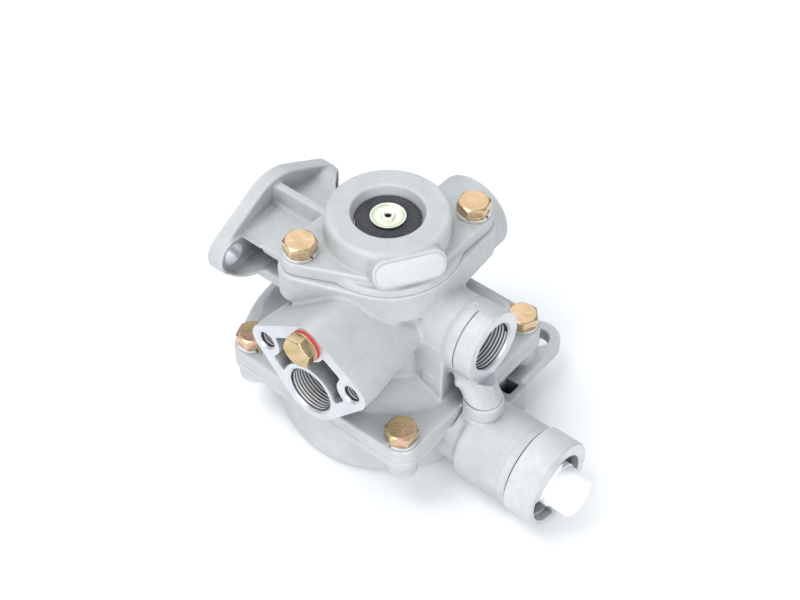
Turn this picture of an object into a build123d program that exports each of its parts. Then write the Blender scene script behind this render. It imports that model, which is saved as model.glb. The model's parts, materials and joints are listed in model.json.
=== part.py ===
from build123d import *
from math import cos, radians, sin, tan
import os

# Air brake relay valve with its exhaust side up. The stack of cover, body and
# bowl runs along Z, the ports lie level round it and the release valve along X.

# Levels of the castings along the stack
bowl_floor = 5.0
seam_low = 32.0
flange_thickness = 7.5
seam_high = 95.5
collar_depth = 15.0
cover_flange = 6.5
hub_height = 12.0
port_level = 70.0

# Lower joint: square flange with one bolt near each corner
flange_side = 102.0
bolt_offset = 42.5
corner_radius = 8.5
flange_round = 60.0
flange_round_reach = 45.0
lower_flange = 4.5
seam_clearance = 0.3
shoulder_radius = 67.0
shoulder_depth = 16.0
bowl_radius = 51.5
bowl_foot_radius = 49.5
bowl_foot_round = 6.0
boss_radius = 7.2
boss_length = 12.5

# Upper joint: two bolts on a slanting line
cover_turn = 57.7
cover_bolt_reach = 38.0
cover_lug = 8.2
cover_waist = 28.6
cover_rim = 32.4
cover_rim_height = 3.2
collar_lug = 9.8
collar_waist = 32.6
hub_radius = 26.6
hub_edge = 2.0
mouth_radius = 15.9
mouth_seat_radius = 14.2
mouth_depth = 5.6
exhaust_bore = 11.0

# Bare plate on the hub, facing away from the bolt line
plate_length = 29.0
plate_height = 10.4
plate_thickness = 0.5
pad_tilt = 18.0
pad_reach = 29.2
pad_margin = 1.4

# Fasteners: hexagon bolts on spring washers
thread_radius = 4.0
head_flats = 13.0
head_height = 5.3
head_crown = 6.1
head_slope = 60.0
head_turn = -20.7
washer_radius = 6.9
washer_height = 1.6
thread_clearance = 0.05
lower_bolt_length = 17.0
upper_bolt_length = 16.0
bolt_hole_clearance = 0.3
washer_clearance = 0.25
spring_split = 0.8

# Port threads
port_radius = 10.35
port_depth = 15.0
passage_radius = 8.8
small_thread_radius = 3.35

# Port on the +X side
port_x_reach = 57.0
port_x_radius = 16.6
port_x_neck = 16.0
port_x_collar = 14.0

# Port on the +Y side
port_y_reach = 60.5
port_y_radius = 19.0

# Diamond flange on the -Y side
diamond_reach = 57.5
diamond_centre = 4.7
diamond_half_pitch = 23.2
diamond_end = 7.8
diamond_port_drop = 15.0
diamond_port_wall = 15.2
diamond_plug_rise = 14.0
diamond_plug_wall = 8.8
diamond_thickness = 8.0
diamond_pocket_depth = 12.0
diamond_rim = 6.0
diamond_hole_wall = 7.4
small_thread_depth = 12.0

# Closing plug of the diamond flange
plug_flats = 13.0
plug_turn = 15.0
plug_head = 5.0
plug_thread_radius = 5.0
plug_thread_length = 9.0
plug_collar_radius = 7.0
plug_collar = 0.8
plug_ring_radius = 7.3
plug_ring = 1.0

# Mounting flange on the -X side and the arm that carries it
mount_reach = 71.0
mount_thickness = 6.7
mount_half_pitch = 30.0
mount_centre = 1.1
mount_end = 9.6
mount_waist = 24.0
mount_hole = 5.25
arm_half_width = 24.5
arm_middle = 12.0
arm_edge = 8.0
arm_channel_roof = 5.0
arm_channel_floor = 6.0
arm_channel_depth = 9.5
arm_channel_end = 28.0
arm_ridge = 4.0
arm_ridge_rise = 21.0
arm_pocket_radius = 8.0
arm_pocket_depth = 12.3
arm_pocket_inner = 5.5
arm_pocket_centre = 14.0
lip_wall = 1.2

# Core of the body and its side chambers
core_radius = 30.0
core_foot_radius = 33.0
dome_radius = 47.0
dome_rise = 8.0
chamber_reach_x = 45.0
chamber_reach_y = 34.0
chamber_height = 21.5
duct_half_width = 16.5
mark_x = 35.5
mark_z = 50.0
mark_radius = 3.3
mark_rise = 0.6

# Release valve low on the +X side
release_y = -8.0
release_z = 20.7
release_radius = 19.0
release_start = 57.0
release_neck = 16.0
release_edge = 2.5
release_collar_radius = 20.2
release_collar_start = 83.0
release_reach = 100.5
release_bore = 13.0
release_bore_end = 56.0
release_chamber = 16.2
release_chamber_start = 87.5
release_lip = 14.5
release_lip_depth = 3.5
release_window = 17.0
window_angles = (6, 214)
window_width = 88.0
lug_angles = (126, 306)
lug_width = 78.0
foot_x = 59.2
foot_radius = 8.8
foot_height = 7.4
foot_neck = 8.2
duct_radius = 3.0
duct_shoulder = 8.6
duct_drop = 13.5

# Lug and hollow block beside the bowl
lug_x = 43.2
lug_y = 55.6
lug_radius = 10.6
lug_hole = 5.5
lug_level = 20.0
lug_thickness = 7.5
block_x = 57.6
block_y = 28.8
block_wall = 3.8
block_pocket_x = 47.1
block_pocket_y = 19.4
block_end_wall = 2.0
block_foot = 3.0

# Relay piston in the bowl
piston_clearance = 0.05
piston_bore = 46.0
piston_thickness = 9.0
piston_rest = 6.0
piston_rim = 2.4
piston_web = 3.0
stem_radius = 6.0
stem_bore = 3.0
stem_hole = 2.0
divider_thickness = 7.0

# Inlet and exhaust valve
valve_seat_level = 62.0
valve_seat_radius = 10.5
valve_seat_wall = 1.5
valve_tube = 7.5
valve_tube_bore = 4.6
valve_disc = 13.0
valve_disc_thickness = 2.2
valve_rubber = 2.6
valve_tube_top = 92.0
chamber_radius = 19.0
delivery_radius = 15.0
seat_floor = 7.0
delivery_duct = 3.2
delivery_duct_drop = 18.5
guide_radius = 20.0
guide_thickness = 13.0
guide_clearance = 0.05
guide_hollow = 4.0
snap_ring = 1.5
snap_width = 3.0
spring_wire = 1.4
spring_radius = 9.6
spring_turns = 5

# Exhaust flap in the hub mouth
flap_radius = 13.5
flap_thickness = 1.6
flap_hole = 2.1
flap_gap = 0.1
grid_thickness = 2.4
grid_rim = 2.4
grid_hub = 4.4
grid_spokes = 4
grid_spoke_width = 2.2
cup_radius = 7.6
cup_rise = 1.6
cup_thickness = 0.8
rivet_radius = 2.0
rivet_head_radius = 2.9
rivet_head = 1.3
rivet_hole = 0.8

# Release knob, plunger and their parts
knob_wing_radius = 14.2
knob_core_radius = 10.4
knob_lug_radius = 15.9
knob_lug = 4.0
knob_base = 8.0
knob_shank = 9.75
knob_reach = 112.0
knob_round = 2.5
knob_socket = 9.0
plunger_radius = 5.0
plunger_bore = 2.0
plunger_head = 8.0
plunger_head_length = 3.0
sleeve_start = 65.0
sleeve_length = 14.0
release_wire = 1.2
release_spring_radius = 7.5
release_turns = 5

# Seals of the castings
seal_width = 2.2
seal_height = 1.7
seal_clearance = 0.05
bowl_seal_radius = 49.0
cover_seal_radius = 23.6

os.makedirs("parts", exist_ok=True)

# Values worked out from the ones above
flange_top = seam_low + flange_thickness
collar_bottom = seam_high - collar_depth
cover_top = seam_high + cover_flange
hub_top = cover_top + hub_height
boss_bottom = seam_low - boss_length
mount_face = mount_reach - mount_thickness
seat_level = hub_top - mouth_depth
bolt_hole = thread_radius + bolt_hole_clearance
bolt_places = GridLocations(2 * bolt_offset, 2 * bolt_offset, 2, 2)


def level(height):
    """Plane square to the stack at a height."""
    return Plane.XY.offset(height)


def turned_level(height):
    """Level plane whose first axis runs along the upper bolt line."""
    along = (cos(radians(cover_turn)), sin(radians(cover_turn)), 0)
    return Plane(origin=(0, 0, height), x_dir=along, z_dir=(0, 0, 1))


def facing_right(reach, y=0.0, z=port_level):
    """Upright plane at x = reach that looks along +X, with Y to the right."""
    return Plane(origin=(reach, y, z), x_dir=(0, 1, 0), z_dir=(1, 0, 0))


def facing_front(reach, x=0.0, z=port_level):
    """Upright plane at y = -reach that looks along -Y, with X to the right."""
    return Plane(origin=(x, -reach, z), x_dir=(1, 0, 0), z_dir=(0, -1, 0))


def facing_back(reach, x=0.0, z=port_level):
    """Upright plane at y = reach that looks along +Y."""
    return Plane(origin=(x, reach, z), x_dir=(-1, 0, 0), z_dir=(0, 1, 0))


def taut_outline(circles):
    """Sketch of the taut band round circles given as (x, y, radius)."""
    with BuildSketch() as band:
        for x, y, radius in circles:
            with Locations((x, y)):
                Circle(radius)
        make_hull()
    return band.sketch


def two_bolt_outline(reach, end, waist):
    """Rhomboid flange outline with a bolt at each end."""
    return taut_outline([(reach, 0, end), (-reach, 0, end), (0, 0, waist)])


def half_round(radius, half_height):
    """Sketch of the -X part of a circle that ends at y = +-half_height."""
    with BuildSketch() as part:
        Circle(radius)
        with Locations((-radius / 2, 0)):
            Rectangle(radius, 2 * half_height, mode=Mode.INTERSECT)
    return part.sketch


def pocket_outline(side, wall):
    """Outline of one nut pocket in the arm, or of the wall round it."""
    outer = (side * mount_half_pitch, 0, arm_pocket_radius + wall)
    inner = (side * arm_pocket_centre, 0, arm_pocket_inner + wall)
    return taut_outline([outer, inner])


def square_flange(round_radius):
    """Square flange outline, bulging to a round on the -X side."""
    with BuildSketch() as outline:
        RectangleRounded(flange_side, flange_side, corner_radius)
        add(half_round(round_radius, flange_round_reach))
    return outline.sketch


def wedge(radius, middle, width):
    """Sketch of a slice of a circle, given by its middle angle and width."""
    reach = 2 * radius
    angles = [radians(middle + share * width / 2) for share in (-1, 0, 1)]
    corners = [(reach * cos(angle), reach * sin(angle)) for angle in angles]
    with BuildSketch() as slice_of_disc:
        Circle(radius)
        Polygon((0, 0), *corners, align=None, mode=Mode.INTERSECT)
    return slice_of_disc.sketch


def ring(outer, inner, low, high, plane=Plane.XY):
    """Flat ring round the axis of a plane, from low to high along it."""
    with BuildPart() as flat_ring:
        with BuildSketch(plane.offset(low)):
            Circle(outer)
            Circle(inner, mode=Mode.SUBTRACT)
        extrude(amount=high - low)
    return flat_ring


def coil(radius, wire, low, high, turns, plane=Plane.XY):
    """Compression spring round the axis of a plane, from low to high along it."""
    length = high - low - 2 * wire
    start = plane.origin + plane.z_dir * (low + wire)
    with BuildPart() as spring:
        with BuildLine():
            path = Helix(length / turns, length, radius, center=start, direction=plane.z_dir)
        with BuildSketch(Plane(origin=path @ 0, z_dir=path % 0)):
            Circle(wire / 2)
        sweep(is_frenet=True)
    return spring


def write(piece, name):
    """Label a finished piece and write its STEP file."""
    piece.part.label = name
    export_step(piece.part, f"parts/{name}.step")


# Outlines shared by pieces that meet
cover_outline = two_bolt_outline(cover_bolt_reach, cover_lug, cover_waist)
collar_outline = two_bolt_outline(cover_bolt_reach, collar_lug, collar_waist)
mount_outline = two_bolt_outline(mount_half_pitch, mount_end, mount_waist)
diamond_circles = [
    (-diamond_half_pitch, 0, diamond_end),
    (diamond_half_pitch, 0, diamond_end),
    (0, -diamond_port_drop, diamond_port_wall),
    (0, diamond_plug_rise, diamond_plug_wall),
]
diamond_outline = taut_outline(diamond_circles)

# Levels and lengths that follow from the pieces above
port_core = port_x_reach - port_x_collar
web_height = port_level - flange_top
divider_top = flange_top + dome_rise
divider_bottom = divider_top - divider_thickness
guide_bottom = seam_high - guide_thickness
release_top = release_z + release_radius
foot_top = release_top + foot_height
plug_level = port_level + diamond_plug_rise
front_port_level = port_level - diamond_port_drop
seal_groove = seal_width / 2 + seal_clearance
stem_ring_low = divider_bottom + 2
piston_radius = piston_bore - piston_clearance
piston_inside = piston_radius - piston_rim - seal_width
stem_room = stem_radius + piston_clearance
guide_bore = valve_tube + guide_clearance
guide_room = guide_radius + guide_clearance
plug_hole = plug_thread_radius + thread_clearance
bolt_thread = thread_radius - thread_clearance
front_pair = Locations((-diamond_half_pitch, 0), (diamond_half_pitch, 0))
wall_reach = mount_half_pitch + arm_pocket_radius + lip_wall
mount_pair = Locations((-mount_half_pitch, 0), (mount_half_pitch, 0))
cover_pair = Locations((-cover_bolt_reach, 0), (cover_bolt_reach, 0))


# Body: middle casting with all the ports
with BuildPart() as valve_body:
    # Flange of the lower joint, dome over the piston and round core
    with BuildSketch(level(seam_low)):
        add(square_flange(flange_round))
    extrude(amount=flange_thickness)
    with BuildSketch(Plane.XZ):
        with BuildLine():
            Polyline(
                (0, seam_low),
                (dome_radius, flange_top - 1),
                (dome_radius, flange_top),
                (core_foot_radius, divider_top),
                (core_radius, collar_bottom + 1),
                (0, collar_bottom + 1),
                close=True,
            )
        make_face()
    revolve(axis=Axis.Z)
    # Collar that takes the cover
    with BuildSketch(turned_level(collar_bottom)):
        add(collar_outline)
    extrude(amount=collar_depth)
    # Port on the +X side with the web under it and a round casting mark
    with BuildSketch(facing_right(0)):
        Circle(port_x_neck)
    extrude(amount=port_core)
    with BuildSketch(facing_right(port_core)):
        Circle(port_x_radius)
    extrude(amount=port_x_collar)
    with BuildSketch(facing_right(0, z=flange_top + web_height / 2)):
        Rectangle(2 * duct_half_width, web_height + 1)
    extrude(amount=port_core)
    with BuildSketch(facing_front(duct_half_width, x=mark_x, z=mark_z)):
        Circle(mark_radius)
    extrude(amount=mark_rise)
    # Duct from that port down to the release valve
    with BuildSketch(level(release_top)):
        with Locations((foot_x, release_y)):
            Circle(foot_radius)
    extrude(amount=foot_height)
    with BuildSketch(level(foot_top)):
        with Locations((foot_x, release_y)):
            Circle(foot_neck)
    with BuildSketch(level(port_level - duct_drop)):
        with Locations((port_x_reach - duct_shoulder, release_y / 2)):
            Circle(duct_shoulder)
    loft()
    # Port on the +Y side
    with BuildSketch(facing_back(port_y_reach)):
        Circle(port_y_radius)
    extrude(amount=core_radius / 2 - port_y_reach)
    # Diamond flange and the boss behind it
    with BuildSketch(facing_front(diamond_reach, x=diamond_centre)):
        add(diamond_outline)
    extrude(amount=-diamond_thickness)
    with BuildSketch(facing_front(diamond_reach - diamond_thickness, x=diamond_centre)):
        add(diamond_outline)
    with BuildSketch(facing_front(core_radius / 2, x=diamond_centre)):
        add(scale(diamond_outline, by=0.86, mode=Mode.PRIVATE))
    loft()
    # Side chamber behind the +X port
    with BuildSketch(level(flange_top - 1)):
        with Locations((chamber_reach_x / 2, chamber_reach_y / 2)):
            RectangleRounded(chamber_reach_x, chamber_reach_y, 5)
    extrude(amount=chamber_height + 1, taper=3)
    # Arm of the mounting flange: ridged roof, channelled sides and pockets for the nuts
    with BuildSketch(facing_right(-mount_face, y=mount_centre)):
        Polygon(
            (0, arm_middle),
            (arm_half_width, arm_edge),
            (arm_half_width, -arm_middle),
            (-arm_half_width, -arm_middle),
            (-arm_half_width, arm_edge),
            align=None,
        )
        with Locations((0, arm_ridge_rise / 2)):
            Rectangle(arm_ridge, arm_ridge_rise)
    extrude(amount=mount_face - core_radius / 2)
    channel_height = arm_channel_roof + arm_channel_floor
    channel_middle = (arm_channel_roof - arm_channel_floor) / 2
    with BuildSketch(facing_right(-mount_face, y=mount_centre)):
        with Locations((-arm_half_width, channel_middle), (arm_half_width, channel_middle)):
            Rectangle(2 * arm_channel_depth, channel_height)
    extrude(amount=mount_face - arm_channel_end, mode=Mode.SUBTRACT)
    # Mounting flange
    with BuildSketch(facing_right(-mount_reach, y=mount_centre)):
        add(mount_outline)
    extrude(amount=mount_thickness)
    # Wall round each nut pocket, low at the flange's ends and rising into the arm
    with BuildPart(mode=Mode.PRIVATE) as pocket_walls:
        with BuildSketch(facing_right(-mount_face, y=mount_centre)):
            for side in (-1, 1):
                add(pocket_outline(side, lip_wall))
        extrude(amount=arm_pocket_depth)
        with BuildSketch(level(port_level - wall_reach)):
            with Locations((-mount_face, mount_centre)):
                Polygon(
                    (0, -wall_reach),
                    (lip_wall, -wall_reach),
                    (arm_pocket_depth, -arm_half_width),
                    (arm_pocket_depth, arm_half_width),
                    (lip_wall, wall_reach),
                    (0, wall_reach),
                    align=None,
                )
        extrude(amount=2 * wall_reach, mode=Mode.INTERSECT)
    add(pocket_walls.part)
    with BuildSketch(facing_right(-mount_face, y=mount_centre)):
        for side in (-1, 1):
            add(pocket_outline(side, 0))
    extrude(amount=arm_pocket_depth, mode=Mode.SUBTRACT)
    with BuildSketch(facing_right(-mount_reach, y=mount_centre)):
        with mount_pair:
            Circle(mount_hole)
    extrude(amount=mount_thickness, mode=Mode.SUBTRACT)
    # Lightening pockets of the diamond flange
    with BuildSketch(facing_front(diamond_reach, x=diamond_centre)):
        offset(diamond_outline, amount=-diamond_rim)
        with front_pair:
            Circle(diamond_hole_wall, mode=Mode.SUBTRACT)
        with Locations((0, -diamond_port_drop)):
            Circle(diamond_port_wall - lip_wall, mode=Mode.SUBTRACT)
        with Locations((0, diamond_plug_rise)):
            Circle(diamond_plug_wall, mode=Mode.SUBTRACT)
    extrude(amount=-diamond_pocket_depth, mode=Mode.SUBTRACT)
    # Small threaded holes and the plug's hole
    with BuildSketch(facing_front(diamond_reach, x=diamond_centre)):
        with front_pair:
            Circle(small_thread_radius)
    extrude(amount=-small_thread_depth, mode=Mode.SUBTRACT)
    with BuildSketch(facing_front(diamond_reach, x=diamond_centre, z=plug_level)):
        Circle(plug_hole)
    extrude(amount=-(plug_thread_length + 2), mode=Mode.SUBTRACT)
    # Relay chamber roof, supply and delivery chambers, guide seat
    with BuildSketch(Plane.XZ):
        with BuildLine():
            Polyline(
                (0, seam_low),
                (piston_bore, seam_low),
                (piston_bore, seam_low + 1.5),
                (core_radius, divider_bottom),
                (stem_room, divider_bottom),
                (stem_room, divider_top),
                (delivery_radius, divider_top),
                (delivery_radius, valve_seat_level - seat_floor),
                (valve_seat_radius, valve_seat_level - seat_floor),
                (valve_seat_radius, valve_seat_level),
                (valve_seat_radius + valve_seat_wall, valve_seat_level),
                (valve_seat_radius + 2 * valve_seat_wall, valve_seat_level - 3),
                (chamber_radius, valve_seat_level - 3),
                (chamber_radius, guide_bottom),
                (guide_room, guide_bottom),
                (guide_room, seam_high),
                (0, seam_high),
                close=True,
            )
        make_face()
    revolve(axis=Axis.Z, mode=Mode.SUBTRACT)
    # Port bores and the passages from them to the chambers
    port_faces = {
        facing_right(port_x_reach): port_x_reach - chamber_radius + 1,
        facing_back(port_y_reach): port_y_reach - chamber_radius + 1,
        facing_front(diamond_reach, x=diamond_centre, z=front_port_level): port_depth + 8,
    }
    for face, reach in port_faces.items():
        with BuildSketch(face):
            Circle(port_radius)
        extrude(amount=-port_depth, mode=Mode.SUBTRACT)
        with BuildSketch(face):
            Circle(passage_radius)
        extrude(amount=-reach, mode=Mode.SUBTRACT)
    with BuildSketch(facing_front(delivery_radius / 2, z=port_level - delivery_duct_drop)):
        Circle(delivery_duct)
    extrude(amount=diamond_reach - delivery_radius, mode=Mode.SUBTRACT)
    with BuildSketch(level(release_top)):
        with Locations((foot_x, release_y)):
            Circle(duct_radius)
    extrude(amount=foot_height + 3, mode=Mode.SUBTRACT)
    # Groove for the ring that seals the piston's stem
    stem_groove = ring(stem_room + seal_width, stem_room, stem_ring_low, stem_ring_low + seal_height)
    add(stem_groove.part, mode=Mode.SUBTRACT)
    # Bolt holes of both joints
    with BuildSketch(level(seam_low)):
        with bolt_places:
            Circle(bolt_hole)
    extrude(amount=flange_thickness, mode=Mode.SUBTRACT)
    with BuildSketch(turned_level(seam_high)):
        with cover_pair:
            Circle(thread_radius)
    extrude(amount=-(upper_bolt_length - cover_flange + 2), mode=Mode.SUBTRACT)
write(valve_body, "valve_body")

# Exhaust cover with its hub, mouth and plate pad
pad_turn = radians(cover_turn - 90)
pad_lean = radians(pad_tilt)
pad_plane = Plane(
    origin=(
        pad_reach * cos(pad_turn),
        pad_reach * sin(pad_turn),
        hub_top - plate_height / 2 - pad_margin,
    ),
    x_dir=(-sin(pad_turn), cos(pad_turn), 0),
    z_dir=(cos(pad_turn) * cos(pad_lean), sin(pad_turn) * cos(pad_lean), sin(pad_lean)),
)
with BuildPart() as exhaust_cover:
    with BuildSketch(turned_level(seam_high)):
        add(cover_outline)
    extrude(amount=cover_flange)
    with BuildSketch(level(seam_high)):
        Circle(cover_rim)
    extrude(amount=cover_rim_height, taper=20)
    with BuildSketch(Plane.XZ):
        with BuildLine():
            Line((0, seam_high), (hub_radius, seam_high))
            Line((hub_radius, seam_high), (hub_radius, hub_top - hub_edge))
            CenterArc((hub_radius - hub_edge, hub_top - hub_edge), hub_edge, 0, 90)
            Line((hub_radius - hub_edge, hub_top), (0, hub_top))
            Line((0, hub_top), (0, seam_high))
        make_face()
    revolve(axis=Axis.Z)
    with BuildSketch(pad_plane):
        RectangleRounded(plate_length + 2 * pad_margin, plate_height + 2 * pad_margin, 5.5)
    extrude(amount=-9)
    with BuildSketch(Plane.XZ):
        with BuildLine():
            Polyline(
                (0, hub_top),
                (mouth_radius, hub_top),
                (mouth_seat_radius, seat_level),
                (mouth_seat_radius, seat_level - grid_thickness),
                (exhaust_bore, seat_level - grid_thickness),
                (exhaust_bore, seam_high),
                (0, seam_high),
                close=True,
            )
        make_face()
    revolve(axis=Axis.Z, mode=Mode.SUBTRACT)
    cover_groove = ring(
        cover_seal_radius + seal_groove,
        cover_seal_radius - seal_groove,
        seam_high,
        seam_high + seal_height,
    )
    add(cover_groove.part, mode=Mode.SUBTRACT)
    with BuildSketch(turned_level(seam_high)):
        with cover_pair:
            Circle(bolt_hole)
    extrude(amount=cover_flange, mode=Mode.SUBTRACT)
write(exhaust_cover, "exhaust_cover")

# Bowl cover with the release valve housing, the lug and the hollow block
with BuildPart() as bowl_cover:
    # Flange, bowl, shoulder and corner bosses
    with BuildSketch(level(seam_low)):
        add(square_flange(shoulder_radius))
    extrude(amount=-lower_flange)
    with BuildSketch(Plane.XZ):
        with BuildLine():
            Line((0, 0), (bowl_foot_radius - bowl_foot_round, 0))
            CenterArc((bowl_foot_radius - bowl_foot_round, bowl_foot_round), bowl_foot_round, -90, 90)
            Line((bowl_foot_radius, bowl_foot_round), (bowl_radius, seam_low))
            Line((bowl_radius, seam_low), (0, seam_low))
            Line((0, seam_low), (0, 0))
        make_face()
    revolve(axis=Axis.Z)
    with BuildSketch(level(seam_low - lower_flange)):
        add(half_round(shoulder_radius, flange_round_reach))
    extrude(amount=lower_flange - shoulder_depth, taper=25)
    with BuildSketch(level(boss_bottom)):
        with bolt_places:
            Circle(boss_radius)
    extrude(amount=boss_length)
    # Release valve housing with a flat on top for the duct
    with BuildSketch(facing_right(bolt_offset, y=release_y, z=release_z)):
        Circle(release_neck)
    extrude(amount=release_start - bolt_offset)
    with BuildSketch(facing_right(release_start, y=release_y, z=release_z)):
        Circle(release_radius)
    extrude(amount=release_collar_start - release_start)
    housing_start = bowl_cover.edges().filter_by_position(Axis.X, release_start - 0.1, release_start + 0.1)
    fillet(housing_start.sort_by(SortBy.LENGTH)[-1], release_edge)
    with BuildSketch(level(release_z)):
        with Locations((foot_x, release_y)):
            Circle(foot_radius)
    extrude(amount=release_radius)
    with BuildSketch(level(seam_low)):
        Rectangle(flange_side + 2 * seam_clearance, flange_side)
    extrude(amount=flange_thickness + 1, mode=Mode.SUBTRACT)
    with BuildSketch(facing_right(release_collar_start, y=release_y, z=release_z)):
        Circle(release_collar_radius)
    extrude(amount=release_reach - release_collar_start)
    # Hollow block and lug
    with BuildSketch(level(block_foot)):
        with Locations((block_x / 2, block_y / 2)):
            Rectangle(block_x, block_y)
    extrude(amount=lug_level - block_foot)
    with BuildSketch(level(lug_level)):
        add(taut_outline([(lug_x, lug_y, lug_radius), (lug_x, block_y / 2, lug_radius)]))
    extrude(amount=-lug_thickness)
    with BuildSketch(level(lug_level)):
        with Locations((lug_x, lug_y)):
            Circle(lug_hole)
    extrude(amount=-lug_thickness, mode=Mode.SUBTRACT)
    pocket_x = block_x - block_wall - block_pocket_x
    pocket_y = block_y - block_end_wall - block_pocket_y
    with BuildSketch(level(lug_level)):
        with Locations((block_pocket_x + pocket_x / 2, block_pocket_y + pocket_y / 2)):
            Rectangle(pocket_x, pocket_y)
    extrude(amount=block_foot + block_end_wall - lug_level, mode=Mode.SUBTRACT)
    # Bore for the relay piston
    with BuildSketch(level(seam_low)):
        Circle(piston_bore)
    extrude(amount=bowl_floor - seam_low, mode=Mode.SUBTRACT)
    # Bore of the release valve, its chamber behind the lips and the duct into it
    with BuildSketch(facing_right(release_bore_end, y=release_y, z=release_z)):
        Circle(release_bore)
    extrude(amount=release_reach - release_bore_end, mode=Mode.SUBTRACT)
    with BuildSketch(facing_right(release_chamber_start, y=release_y, z=release_z)):
        Circle(release_chamber)
    extrude(amount=release_reach - release_lip_depth - release_chamber_start, mode=Mode.SUBTRACT)
    with BuildSketch(facing_right(release_reach, y=release_y, z=release_z)):
        Circle(release_lip)
        for angle in window_angles:
            add(wedge(release_window, angle, window_width))
    extrude(amount=-release_lip_depth, mode=Mode.SUBTRACT)
    with BuildSketch(level(release_z)):
        with Locations((foot_x, release_y)):
            Circle(duct_radius)
    extrude(amount=release_radius + 1, mode=Mode.SUBTRACT)
    with BuildSketch(facing_right(piston_bore - 8, y=release_y, z=release_z)):
        Circle(duct_radius)
    extrude(amount=release_bore_end - piston_bore + 9, mode=Mode.SUBTRACT)
    with BuildSketch(facing_right(sleeve_start + sleeve_length, y=release_y, z=release_z)):
        Circle(release_bore + snap_ring / 2 + seal_clearance)
    extrude(amount=snap_ring, mode=Mode.SUBTRACT)
    # Groove for the seal of the joint and threaded holes for the bolts
    bowl_groove = ring(
        bowl_seal_radius + seal_groove,
        bowl_seal_radius - seal_groove,
        seam_low - seal_height,
        seam_low,
    )
    add(bowl_groove.part, mode=Mode.SUBTRACT)
    with BuildSketch(level(seam_low)):
        with bolt_places:
            Circle(thread_radius)
    extrude(amount=flange_thickness + washer_height - lower_bolt_length - 1, mode=Mode.SUBTRACT)
write(bowl_cover, "bowl_cover")


def hexagon_bolts(places, turns, base, length):
    """Hexagon bolts with chamfered heads that rest at a level."""
    with BuildPart() as bolts:
        with BuildSketch(level(base)):
            for place, turn in zip(places, turns):
                with Locations(place):
                    RegularPolygon(head_flats / 2, 6, major_radius=False, rotation=turn)
        extrude(amount=head_height)
        with BuildSketch(level(base)):
            with Locations(*places):
                Circle(head_crown + head_height * tan(radians(head_slope)))
        extrude(amount=head_height, taper=head_slope, mode=Mode.INTERSECT)
        with BuildSketch(level(base - length)):
            with Locations(*places):
                Circle(bolt_thread)
        extrude(amount=length)
    return bolts


def spring_washers(places, base):
    """Split washers lying at a level."""
    with BuildPart() as washers:
        with BuildSketch(level(base)):
            with Locations(*places):
                Circle(washer_radius)
                Circle(thread_radius + washer_clearance, mode=Mode.SUBTRACT)
                with Locations((-washer_radius, 0)):
                    Rectangle(2 * thread_radius, spring_split, mode=Mode.SUBTRACT)
        extrude(amount=washer_height)
    return washers


# Fasteners of both joints, their heads turned as they were left when tightened
cover_side_x = cover_bolt_reach * cos(radians(cover_turn))
cover_side_y = cover_bolt_reach * sin(radians(cover_turn))
cover_places = [(-cover_side_x, -cover_side_y), (cover_side_x, cover_side_y)]
bowl_places = [(x, y) for x in (-bolt_offset, bolt_offset) for y in (-bolt_offset, bolt_offset)]
bowl_turns = [head_turn + 12, head_turn, head_turn - 9, head_turn + 30]
bowl_bolts = hexagon_bolts(bowl_places, bowl_turns, flange_top + washer_height, lower_bolt_length)
write(bowl_bolts, "bowl_bolts")
bowl_spring_washers = spring_washers(bowl_places, flange_top)
write(bowl_spring_washers, "bowl_spring_washers")
cover_turns = [head_turn, head_turn + 7]
cover_bolts = hexagon_bolts(cover_places, cover_turns, cover_top + washer_height, upper_bolt_length)
write(cover_bolts, "cover_bolts")
cover_spring_washers = spring_washers(cover_places, cover_top)
write(cover_spring_washers, "cover_spring_washers")

# Seals of both joints
bowl_seal_ring = ring(
    bowl_seal_radius + seal_width / 2,
    bowl_seal_radius - seal_width / 2,
    seam_low - seal_height,
    seam_low,
)
write(bowl_seal_ring, "bowl_seal_ring")
cover_seal_ring = ring(
    cover_seal_radius + seal_width / 2,
    cover_seal_radius - seal_width / 2,
    seam_high,
    seam_high + seal_height,
)
write(cover_seal_ring, "cover_seal_ring")

# Closing plug and its sealing ring
plug_face = facing_front(diamond_reach, x=diamond_centre, z=plug_level)
with BuildPart() as closing_plug:
    with BuildSketch(plug_face.offset(plug_ring)):
        Circle(plug_collar_radius)
    extrude(amount=plug_collar)
    with BuildSketch(plug_face.offset(plug_ring + plug_collar)):
        RegularPolygon(plug_flats / 2, 6, major_radius=False, rotation=plug_turn)
    extrude(amount=plug_head)
    with BuildSketch(plug_face.offset(plug_ring)):
        Circle(plug_thread_radius)
    extrude(amount=-(plug_thread_length + plug_ring))
write(closing_plug, "closing_plug")
plug_seal_ring = ring(plug_ring_radius, plug_thread_radius + washer_clearance, 0, plug_ring, plug_face)
write(plug_seal_ring, "plug_seal_ring")

# Bare plate on its pad
with BuildPart() as rating_plate:
    with BuildSketch(pad_plane):
        RectangleRounded(plate_length, plate_height, 4.6)
    extrude(amount=plate_thickness)
write(rating_plate, "rating_plate")

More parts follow.
